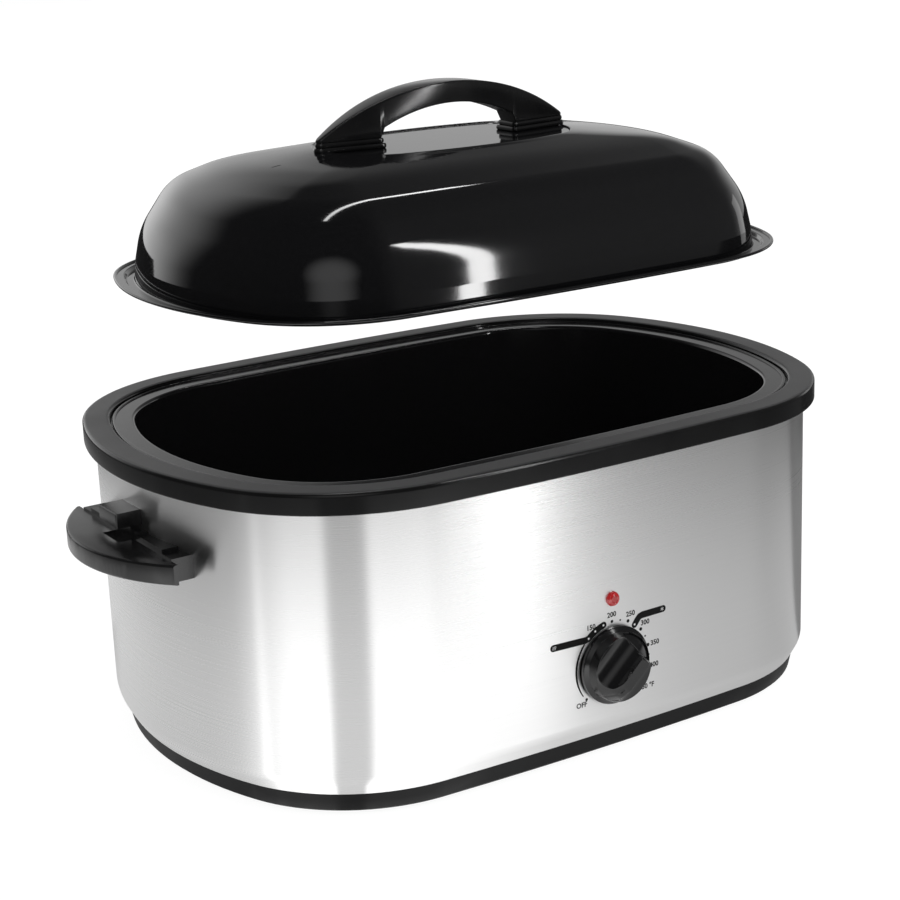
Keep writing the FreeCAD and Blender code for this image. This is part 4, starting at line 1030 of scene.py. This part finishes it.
def knob_surface(turns=288):
    """Dome outline turned about the axis, cut by two lying cylinders and by the pointer's groove. The
    bar runs out to the pointer's side; on the other side it ends in a steep face over a low cap."""
    dome = rounded([(29.0, 1.2, 0), (29.0, 4.0, 0.8), (26.0, 6.0, 0.9), (24.6, 13.0, 8.0), (19.0, 23.0, 9.0),
                    (12.0, DOME_TOP, 6.0), (0.0, DOME_TOP, 0)], steps=14, stride=0.7)
    t = full_turn(turns)[:, None]
    x, y = dome[:, 0] * np.sin(t), dome[:, 0] * np.cos(t)
    z = np.broadcast_to(dome[:, 1], x.shape)
    for way in (-1, 1):
        off = x * way - SCOOP_X
        reach = np.maximum(SCOOP_RADIUS**2 - off**2, 0)
        scoop = np.where(np.abs(off) < SCOOP_RADIUS, SCOOP_Z - np.sqrt(reach), 60.0)
        z = soft_min(z, scoop, 0.9)
    cap = np.sqrt(np.maximum(CAP_RADIUS**2 - dome[:, 0] ** 2, 0)) + CAP_MIDDLE
    tail = np.maximum(DOME_TOP + TAIL_SLOPE * (y - TAIL_END), np.broadcast_to(cap, x.shape))
    z = np.where(dome[:, 0] < 25.2, soft_min(z, tail, 0.7), z)
    groove = (np.clip(1.15 - np.abs(x) / 0.85, 0, 1) * np.clip((y - GROOVE_START) / 0.8, 0, 1)) ** 0.5
    z = z - np.where((y > 12) & (np.abs(x) < 1.0), GROOVE_DEPTH * np.minimum(groove, 1), 0)
    c, s = math.cos(POINTER), math.sin(POINTER)
    return np.dstack([x * c + y * s, y * c - x * s, z])


def on_front(points, height):
    """A shape made with its height along Z, stood on the front wall at the control's x and height."""
    return facing(np.asarray(points).reshape(-1, 3), "front") + (SHAFT_X, WALL_Y, height)


skin = knob_surface()
hollow = np.array([(29.0, 1.2), (24.2, 0.9), (24.0, 1.2), (23.0, 6.0), (19.0, 10.8), (6.2, 10.8), (6.2, 4.2),
                   (3.1, 4.2), (3.1, 12.0), (0.0, 12.0)])
turn = full_turn(len(skin))[:, None] + POINTER
depth = np.broadcast_to(hollow[:, 1], (len(skin), len(hollow)))
hollow = np.dstack([hollow[:, 0] * np.sin(turn), hollow[:, 0] * np.cos(turn), depth])
knob = np.concatenate([hollow[:, ::-1], skin[:, 1:]], axis=1)
piece("knob_cap", on_front(knob, SHAFT_Z), grid_faces(*knob.shape[:2]), "knob", gloss_plastic,
      ["temperature_knob"], "gloss_black_plastic", 50)

# %% [markdown]
# ## Pilot lens
# A low dome with a flat face and a shallow ring round it, turned about its own axis.

# %% Lens
lens_outline = rounded([(0, 3.0, 0), (2.2, 3.0, 0.4), (2.8, 3.4, 0.5), (4.6, 2.6, 1.2), (5.4, 1.0, 0.6),
                        (5.4, 0.05, 0), (4.1, 0.0, 0), (4.1, -12.0, 0.2), (3.0, -12.0, 0.2), (3.0, 0.6, 0),
                        (0.0, 0.8, 0)], steps=5, stride=3)
lens, lens_faces = lathe(lens_outline, 40)
piece("pilot_lens", on_front(lens, LENS_Z), lens_faces, "base", lens_red, ["indicator_lens"], "red_lens", 50)

# %% [markdown]
# ## Rack
# The rack is welded from drawn wire: an oval strap as a frame, cross wires on two long wires, four
# legs and a bent loop at each end to lift it by. A wire is a circle carried along a line. The circle
# is set square to the line by one fixed direction, which works as long as the line stays in a plane.

# %% Wires


def tube(path, radius, square, sides=14):
    """A circle carried along a path in a plane: its axes are the plane's normal and the normal x run."""
    path = np.asarray(path, float)
    flat = np.asarray(square, float)
    level = unit(np.cross(flat, unit(np.gradient(path, axis=0))))
    a = full_turn(sides)[None, :, None]
    ring = path[:, None] + radius * (np.cos(a) * level[:, None] + np.sin(a) * flat)
    caps = [np.repeat(path[:1, None], sides, 1), ring, np.repeat(path[-1:, None], sides, 1)]
    ring = np.concatenate(caps)
    return ring.reshape(-1, 3), grid_faces(len(ring), sides, False, True)


rack_ring = drawn_in(BODY, 73.3)[:, 0]
right_half = rack_ring[(rack_ring[:, 0] > 0) & (rack_ring[:, 1] >= 0)]
back_half = rack_ring[rack_ring[:, 1] > 0]


def wire_end(values, across, seek):
    """Where the ring is met: across as a function of seek, read off the ring's own points."""
    order = np.argsort(seek)
    return np.interp(values, seek[order], across[order])


WIRE, WIRE_GAP, CROSS_Z = 1.6, 34.0, 84.0
LONG_Y, LONG_Z = 45.0, 81.12
wires = []
for x in np.arange(-5, 6) * WIRE_GAP:
    reach = float(wire_end(x, back_half[:, 1], back_half[:, 0]))
    wires.append(tube([(x, y, CROSS_Z) for y in np.linspace(-reach, reach, 7)], WIRE, (1, 0, 0)))
for y in (-LONG_Y, LONG_Y):
    reach = float(wire_end(LONG_Y, right_half[:, 0], right_half[:, 1]))
    wires.append(tube([(x, y, LONG_Z) for x in np.linspace(-reach, reach, 9)], WIRE, (0, 1, 0)))
strap = rounded([(72, 81.8, 0.9), (72, 86.2, 0.9), (74.6, 86.2, 0.9), (74.6, 81.8, 0.9)], True, 4)
rim_strap = oval_sweep(strap)
wires.append((rim_strap.reshape(-1, 3), grid_faces(*rim_strap.shape[:2], True, True)))
piece("rack_frame", *collect(wires), "rack", chrome, ["roasting_rack"], "chromed_wire", 60)

leg, leg_faces = lathe(rounded([(0, 72.3, 0), (2.4, 72.3, 1.0), (2.4, 79.5, 0), (0, 79.5, 0)], steps=5), 20)
legs = many(leg, leg_faces, four_corners(153, LONG_Y))
piece("rack_feet", *legs, "rack", chrome, ["rack_legs"], "chromed_wire", 60)

loop_line = rounded([(-30, 81.8, 0), (-30, 130.0, 10.0), (30, 130.0, 10.0), (30, 81.8, 0)],
                    steps=10, stride=8)
loops_both = [tube([(sx * 201.2, y, z) for y, z in loop_line], 1.8, (1, 0, 0), 16) for sx in (-1, 1)]
piece("rack_lifts", *collect(loops_both), "rack", chrome, ["rack_loops"], "chromed_wire", 60)

# %% [markdown]
# ## Printed dial
# The scale is screen-printed on the steel: numbers, dots, a thin arc and two dark tabs for the ranges
# that keep warm and thaw, which carry light dots and a small sign each. Print has no thickness to
# speak of. It could be a pattern in the steel's finish, but letters want crisp outlines, so each mark
# is a flat shape laid on the wall: x and height stay, and y is read from the wall's own circle, a few
# hundredths in front of it.

# %% Marks on the wall


def flat_text(words, size):
    """Outline type made a mesh: its points in the plane and its faces."""
    curve = bpy.data.curves.new("type", "FONT")
    curve.body, curve.size, curve.align_x, curve.align_y = words, size, "CENTER", "CENTER"
    curve.resolution_u, curve.offset = 3, 0.028 * size
    holder = placed("type", curve)
    mesh = worked_out(holder)
    points = np.array([v.co[:2] for v in mesh.vertices])
    faces = [list(p.vertices) for p in mesh.polygons]
    bpy.data.objects.remove(holder)
    bpy.data.curves.remove(curve)
    bpy.data.meshes.remove(mesh)
    return points, faces


def dot(x, z, radius, sides=24):
    t = full_turn(sides)
    return np.column_stack([x + radius * np.cos(t), z + radius * np.sin(t)]), [list(range(sides))]


def ribbon(line, half, sides=10):
    """A band of the given half width along a line, with round ends: left side, cap, right side, cap."""
    line = np.asarray(line, float)
    run = unit(np.gradient(line, axis=0))
    left = np.column_stack([-run[:, 1], run[:, 0]])
    half = np.broadcast_to(np.asarray(half, float), (len(line),))[:, None]
    strip = np.stack([line + left * half, line - left * half], 1).reshape(-1, 2)
    faces = [[2 * k, 2 * k + 1, 2 * k + 3, 2 * k + 2] for k in range(len(line) - 1)]
    points = [strip]
    for at, along, width in ((line[0], -run[0], half[0, 0]), (line[-1], run[-1], half[-1, 0])):
        t = np.linspace(-np.pi / 2, np.pi / 2, sides + 1)[:, None]
        across = np.array([-along[1], along[0]])
        points.append(at + width * (np.cos(t) * along + np.sin(t) * across))
        faces.append((np.arange(sides + 1) + sum(len(p) for p in points[:-1])).tolist())
    return np.vstack(points), faces


DOT_RING = 32.3


def on_dial(radius, degrees):
    """A point of the dial: radius from the shaft, degrees clockwise from straight up."""
    a = np.radians(degrees)
    return np.stack([SHAFT_X + radius * np.sin(a), SHAFT_Z + radius * np.cos(a)], -1)


def printed(name, marks, finish, proud):
    """Flat marks laid on the front wall, facing forwards."""
    points, faces, start = [], [], 0
    for p, f in marks:
        points.append(p)
        faces += [[i + start for i in face] for face in f]
        start += len(p)
    flat = np.vstack(points)
    laid = np.column_stack([flat[:, 0], front_y(flat[:, 0]) - proud, flat[:, 1]])
    mesh = bpy.data.meshes.new(name)
    mesh.from_pydata(to_frame(laid).tolist(), [], faces)
    sheet = bmesh.new()
    sheet.from_mesh(mesh)
    bmesh.ops.reverse_faces(sheet, faces=[f for f in sheet.faces if f.normal.y > 0])
    sheet.to_mesh(mesh)
    sheet.free()
    made = placed(name, mesh)
    made.data.materials.append(finish)
    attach(made, "base")
    print(name, len(marks), "marks")
    return made


def ink(name, dark, light):
    r = Recipe(name)
    grain = r.noise(r.place(), 2600.0, 2.0)
    return r.finish(Base_Color=r.blend(grain, dark, light), Roughness=r.span(grain, 0.5, 0.65), IOR=1.2,
                    Normal=r.bump(grain, 0.000008, 0.5))


black_ink = ink("black_ink", (0.004, 0.004, 0.004), (0.008, 0.008, 0.008))
white_ink = ink("white_ink", (0.72, 0.72, 0.72), (0.82, 0.82, 0.82))

dark_marks, light_marks = [], []
NUMBERS = (
    ("150", 37.3, -30.9), ("200", 37.4, -1.2), ("250", 37.8, 25.1), ("300", 38.1, 50.0), ("350", 38.6, 79.6),
    ("400", 38.4, 105.0), ("450 °F", 39.0, 130.0), ("OFF", 37.8, -131.0),
)
for words, radius, degrees in NUMBERS:
    p, f = flat_text(words, 5.3)
    dark_marks.append((p + on_dial(radius, degrees), f))
DOTS = (
    (-131.5, 1.1), (-1.2, 1.2), (12.0, 0.75), (25.2, 1.3), (51.2, 1.35), (64.3, 0.75), (78.2, 1.35),
    (91.8, 0.75), (105, 1.35), (118.3, 0.75), (131.5, 1.35),
)
for degrees, size in DOTS:
    dark_marks.append(dot(*on_dial(DOT_RING, degrees), size))
sweep = np.linspace(-124.0, -51.0, 40)
dark_marks.append(ribbon(on_dial(32.6, sweep), 0.3 + 0.6 * np.sin(np.linspace(0.15, np.pi - 0.5, 40))))
bend = on_dial(DOT_RING, np.linspace(-14.6, -41.5, 10))
warm_tab = np.vstack([bend, [(-20.0, 94.9)], [(-26.0, 95.1)], [(-47.4, 95.6)]])
dark_marks.append(ribbon(warm_tab, 2.6))
thaw_tab = np.array([(24.0, 96.3), (26.4, 99.3), (28.4, 101.4), (31.0, 102.1), (36.0, 102.1), (50.2, 102.2)])
dark_marks.append(ribbon(thaw_tab, 2.6))
for x, z in (*(on_dial(DOT_RING, degrees) for degrees in (-14.8, -28.7, -41.3)), (24.0, 96.4)):
    light_marks.append(dot(x, z, 0.8))
waves = np.linspace(-1.25, 1.25, 12)
for shift in (-1.1, 0.0, 1.1):
    line = np.column_stack([-46.6 + shift + 0.3 * np.sin(waves * 2.5), 95.55 + waves])
    light_marks.append(ribbon(line, 0.17, 4))
for turn in np.radians((90, 30, -30)):
    arm = np.linspace(-1.4, 1.4, 3)[:, None] * np.array([math.cos(turn), math.sin(turn)])
    light_marks.append(ribbon(arm + (49.4, 102.2), 0.15, 4))
printed("dial_print", dark_marks, black_ink, 0.05)
printed("dial_print_light", light_marks, white_ink, 0.09)

# %% [markdown]
# ## Pieces that keep their construction shape
# Behind the wall and under the lid sit pieces that nobody sees in use: straps, screws, the thermostat,
# the wiring. Their construction shapes are right, so they stay and only get a finish.

# %% Finishes for the pieces inside
inside = {
    zinc: ("foot_screws", "band_straps", "lens_clip", "thermal_fuse", "tie_strap", "tie_bolt",
           "handle_plate_left", "handle_plate_right", "handle_screws", "lid_handle_screws",
           "lid_washers", "knob_clip"),
    mica: ("heating_band",),
    ceramic: ("heater_terminals", "thermostat_body", "terminal_block"),
    glass_felt: ("insulation_blanket",),
    brass: ("thermostat_shaft", "thermostat_nut", "sensor_plate"),
    lamp_glass: ("indicator_lamp",),
    sleeve: ("internal_leads",),
}
for finish, names in inside.items():
    for name in names:
        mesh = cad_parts[name].data
        mesh.materials.clear()
        mesh.materials.append(finish)
softened("cord_gland", "cord_bushing", grip_plastic, "base", 0.5, 35, 0.4, 2)
print(sum(len(n) for n in inside.values()), "pieces finished in place")

# %% [markdown]
# ## Floor, backdrop and world
# To the camera the oven stands on a plain pale floor that reaches far behind it, so floor and
# background are one white. A white that only comes from more lamps would bleach the steel, so the
# floor gives the camera most of its white by itself and keeps the rest for the shadow. Polished
# steel shows the floor in front of it, and in a studio that floor has light and dark cards lying on
# it. Here their place in a mirror is painted: rays that come off a polished surface meet a floor
# that is brighter or darker by its direction from the oven's rounded corner, which draws the
# upright bars on the steel. That is a stage effect and no property of the steel. The levels were
# set for one view, they go above a plain white near the oven, and on a plain floor the same
# steel is expected to look more even.

# %% Stage
CAMERA_SHARE, CAMERA_GLOW = 0.78, 1.2
SKY_LEVEL, SKY_WHITE = 0.64, 1.0


def turn_about(r, x, y):
    """Half turns around a point of the floor, 0 straight to its left, from -1 to 1."""
    split = r.split(r.spot())
    across = r.math("SUBTRACT", x, split[0])
    away = r.math("SUBTRACT", y, split[1])
    return r.math("MULTIPLY", r.math("ARCTAN2", away, across), 1 / math.pi)


def levels(r, value, low, high, stops):
    """Brightness read off a list of (degrees, level), spread between two angles in degrees."""
    place = r.span(value, 0.0, 1.0, low / 180, high / 180)
    ramp = r.add("ShaderNodeValToRGB", i0=place)
    dots = ramp.color_ramp.elements
    while len(dots) < len(stops):
        dots.new(0.5)
    for dot, (angle, level) in zip(dots, stops):
        dot.position = (angle - low) / (high - low)
    for dot, (angle, level) in zip(dots, stops):
        dot.color = (level, level, level, 1)
    return ramp.outputs[0]


def pale_floor():
    """Plain to the camera and to soft light; to mirror rays, bars by direction that fade with distance."""
    r = Recipe("pale_floor")
    link = r.tree.links.new
    spot = r.spot()
    bars = levels(r, turn_about(r, -0.175, -0.115), -100, 130, [
        (-90, 0.38), (-30, 0.42), (-19, 0.47), (-8, 0.62), (-4, 0.70), (-2.5, 1.0), (0.5, 1.0), (3, 0.74),
        (10, 0.88), (20, 1.0), (42, 0.98), (46, 0.48), (69, 0.48), (73, 1.0), (90, 1.0)])
    front = levels(r, turn_about(r, -0.371, 0.307), 60, 180, [
        (62, 1.0), (111, 1.0), (116, 0.84), (121, 0.62), (125, 0.46), (132, 0.39), (142, 0.32), (170, 0.32)])
    front = r.math("MAXIMUM", front, r.span(r.split(spot)[0], 1.0, 0.0, -0.26, -0.14))
    reach = r.add("ShaderNodeVectorMath", {"operation": "LENGTH"}, i0=spot).outputs["Value"]
    near = r.span(reach, 2.08, 0.35, 0.74, 0.95)
    far = r.span(reach, 1.0, 0.15, 1.3, 2.6)
    close = r.span(reach, 0.9, 1.0, 0.3, 0.48)
    mirrored = bars
    for factor in (front, near, far, close):
        mirrored = r.math("MULTIPLY", mirrored, factor)
    card = r.add("ShaderNodeEmission", Color=(1, 1, 1, 1), Strength=mirrored)
    glow = r.add("ShaderNodeEmission", Color=(1, 1, 1, 1), Strength=CAMERA_GLOW)
    seen = r.add("ShaderNodeLightPath")
    share = r.math("MULTIPLY", seen.outputs["Is Camera Ray"], CAMERA_SHARE)
    white = r.add("ShaderNodeMixShader", i0=share, i1=r.shader.outputs[0], i2=glow.outputs[0])
    glossy = seen.outputs["Is Glossy Ray"]
    both = r.add("ShaderNodeMixShader", i0=glossy, i1=white.outputs[0], i2=card.outputs[0])
    link(both.outputs[0], r.tree.nodes["Material Output"].inputs[0])
    grain = r.noise(r.place(), 30.0, 3.0)
    return r.finish(Base_Color=r.blend(grain, (0.80, 0.80, 0.80), (0.83, 0.83, 0.83)), Roughness=0.8)


floor_mesh = bpy.data.meshes.new("floor")
floor_mesh.from_pydata([(-9, -9, 0), (9, -9, 0), (9, 9, 0), (-9, 9, 0)], [], [(0, 1, 2, 3)])
floor = placed("floor", floor_mesh)
floor_mesh.materials.append(pale_floor())


def studio_world():
    """White to the camera, even for light, and for mirrors a dark room with a pale back horizon, a
    little light from the right and two soft patches, back left and front left."""
    world = bpy.data.worlds.new("studio")
    bpy.context.scene.world = world
    world.use_nodes = True
    world.node_tree.nodes.clear()
    sky = Nodes(world.node_tree)
    where = sky.add("ShaderNodeTexCoord").outputs["Generated"]
    x, y, z = sky.split(where)[:3]

    def soft(value, start, end, first, last):
        return sky.span(value, first, last, start, end, "SMOOTHSTEP")

    def towards(way, start, end):
        """From 0 to 1 as a direction comes closer to a given one: the cosine between start and end."""
        near = sky.add("ShaderNodeVectorMath", {"operation": "DOT_PRODUCT"}, i0=where, i1=way)
        return soft(near.outputs["Value"], start, end, 0.0, 1.0)

    def more(pattern, amount, under):
        """A pattern times an amount, on top of what is there."""
        return sky.math("MULTIPLY_ADD", pattern, amount, under)

    behind = towards((0.53, 0.85, 0.0), 0.35, 0.75)
    mirror = more(behind, soft(z, 0.10, 0.38, 0.46, 0.0), 0.028)
    mirror = more(behind, soft(z, 0.52, 0.70, 0.10, 0.0), mirror)
    mirror = more(soft(x, 0.1, 0.7, 0.0, 1.0), soft(y, -0.9, 0.3, 0.14, 0.05), mirror)
    mirror = more(towards((-0.136, 0.969, 0.208), 0.80, 1.0), 0.85, mirror)
    mirror = more(towards((-0.511, -0.757, 0.407), 0.89, 1.0), 0.85, mirror)
    seen = sky.add("ShaderNodeLightPath").outputs
    lit = sky.add("ShaderNodeMix", i0=seen["Is Glossy Ray"], i2=SKY_LEVEL, i3=mirror).outputs[0]
    level = sky.add("ShaderNodeMix", i0=seen["Is Camera Ray"], i2=lit, i3=SKY_WHITE).outputs[0]
    back = sky.add("ShaderNodeBackground", i0=(1, 1, 1, 1), i1=level).outputs[0]
    sky.add("ShaderNodeOutputWorld", i0=back)


studio_world()

# %% [markdown]
# ## Lamps
# Soft boxes as in a product studio, each placed where its mirror image should fall on the lid: a tall
# strip in front on the right for the bent bar on the front, a long thin one overhead for the bright
# line along the shoulder, and a small one on the right for the rim of light there.

# %% Soft boxes


def soft_box(name, start, end, width, radiance, aim=(-0.1, -0.1, 0.38)):
    """A lamp along the line from start to end, turned to its aim. Power is radiance * pi * area."""
    start, end, aim = Vector(start), Vector(end), Vector(aim)
    middle, along = (start + end) / 2, (end - start).normalized()
    back = middle - aim
    back = (back - along * back.dot(along)).normalized()
    across = along.cross(back)
    data = bpy.data.lights.new(name, "AREA")
    data.shape, data.size, data.size_y = "RECTANGLE", width, (end - start).length
    data.energy = radiance * math.pi * width * data.size_y
    lamp = placed(name, data)
    lamp.matrix_world = Matrix((across, along, back)).transposed().to_4x4()
    lamp.location = middle
    lamp.visible_camera = False


soft_box("front_strip", (0.90, -1.98, 0.0), (0.74, -1.16, 1.82), 0.07, 18.0)
soft_box("overhead_strip", (-0.70, -0.55, 2.4), (1.40, 1.10, 2.4), 0.10, 12.0)
soft_box("right_edge", (2.4, 0.15, 0.1), (2.4, 0.15, 0.85), 0.5, 0.7)

# %% [markdown]
# ## Camera
# A long lens from the front left, higher than the lid and leaning by two degrees. Its turn follows
# from three angles: the direction it looks from, how far it looks down and its lean. Its place is
# written out, in millimetres like every other length.

# %% Camera
AZIMUTH, ELEVATION, LEAN = (math.radians(v) for v in (-32.36, 16.21, -2.26))
flat_way = np.array([math.sin(AZIMUTH), -math.cos(AZIMUTH), 0.0])
back_way = flat_way * math.cos(ELEVATION) + (0.0, 0.0, math.sin(ELEVATION))
right_way = np.array([math.cos(AZIMUTH), math.sin(AZIMUTH), 0.0])
up_way = np.cross(back_way, right_way)
x_way = right_way * math.cos(LEAN) + up_way * math.sin(LEAN)
y_way = up_way * math.cos(LEAN) - right_way * math.sin(LEAN)
camera_data = bpy.data.cameras.new("camera")
camera_data.lens, camera_data.sensor_width, camera_data.clip_end = 80.44, 36.0, 50.0
camera = placed("camera", camera_data)
turn = np.eye(4)
turn[:3, 0], turn[:3, 1], turn[:3, 2] = x_way, y_way, back_way
turn[:3, 3] = to_frame((-803.12, -1260.34, 622.64))[0]
camera.matrix_world = Matrix(turn.tolist())
bpy.context.scene.camera = camera
bpy.context.scene.view_settings.view_transform = "Standard"
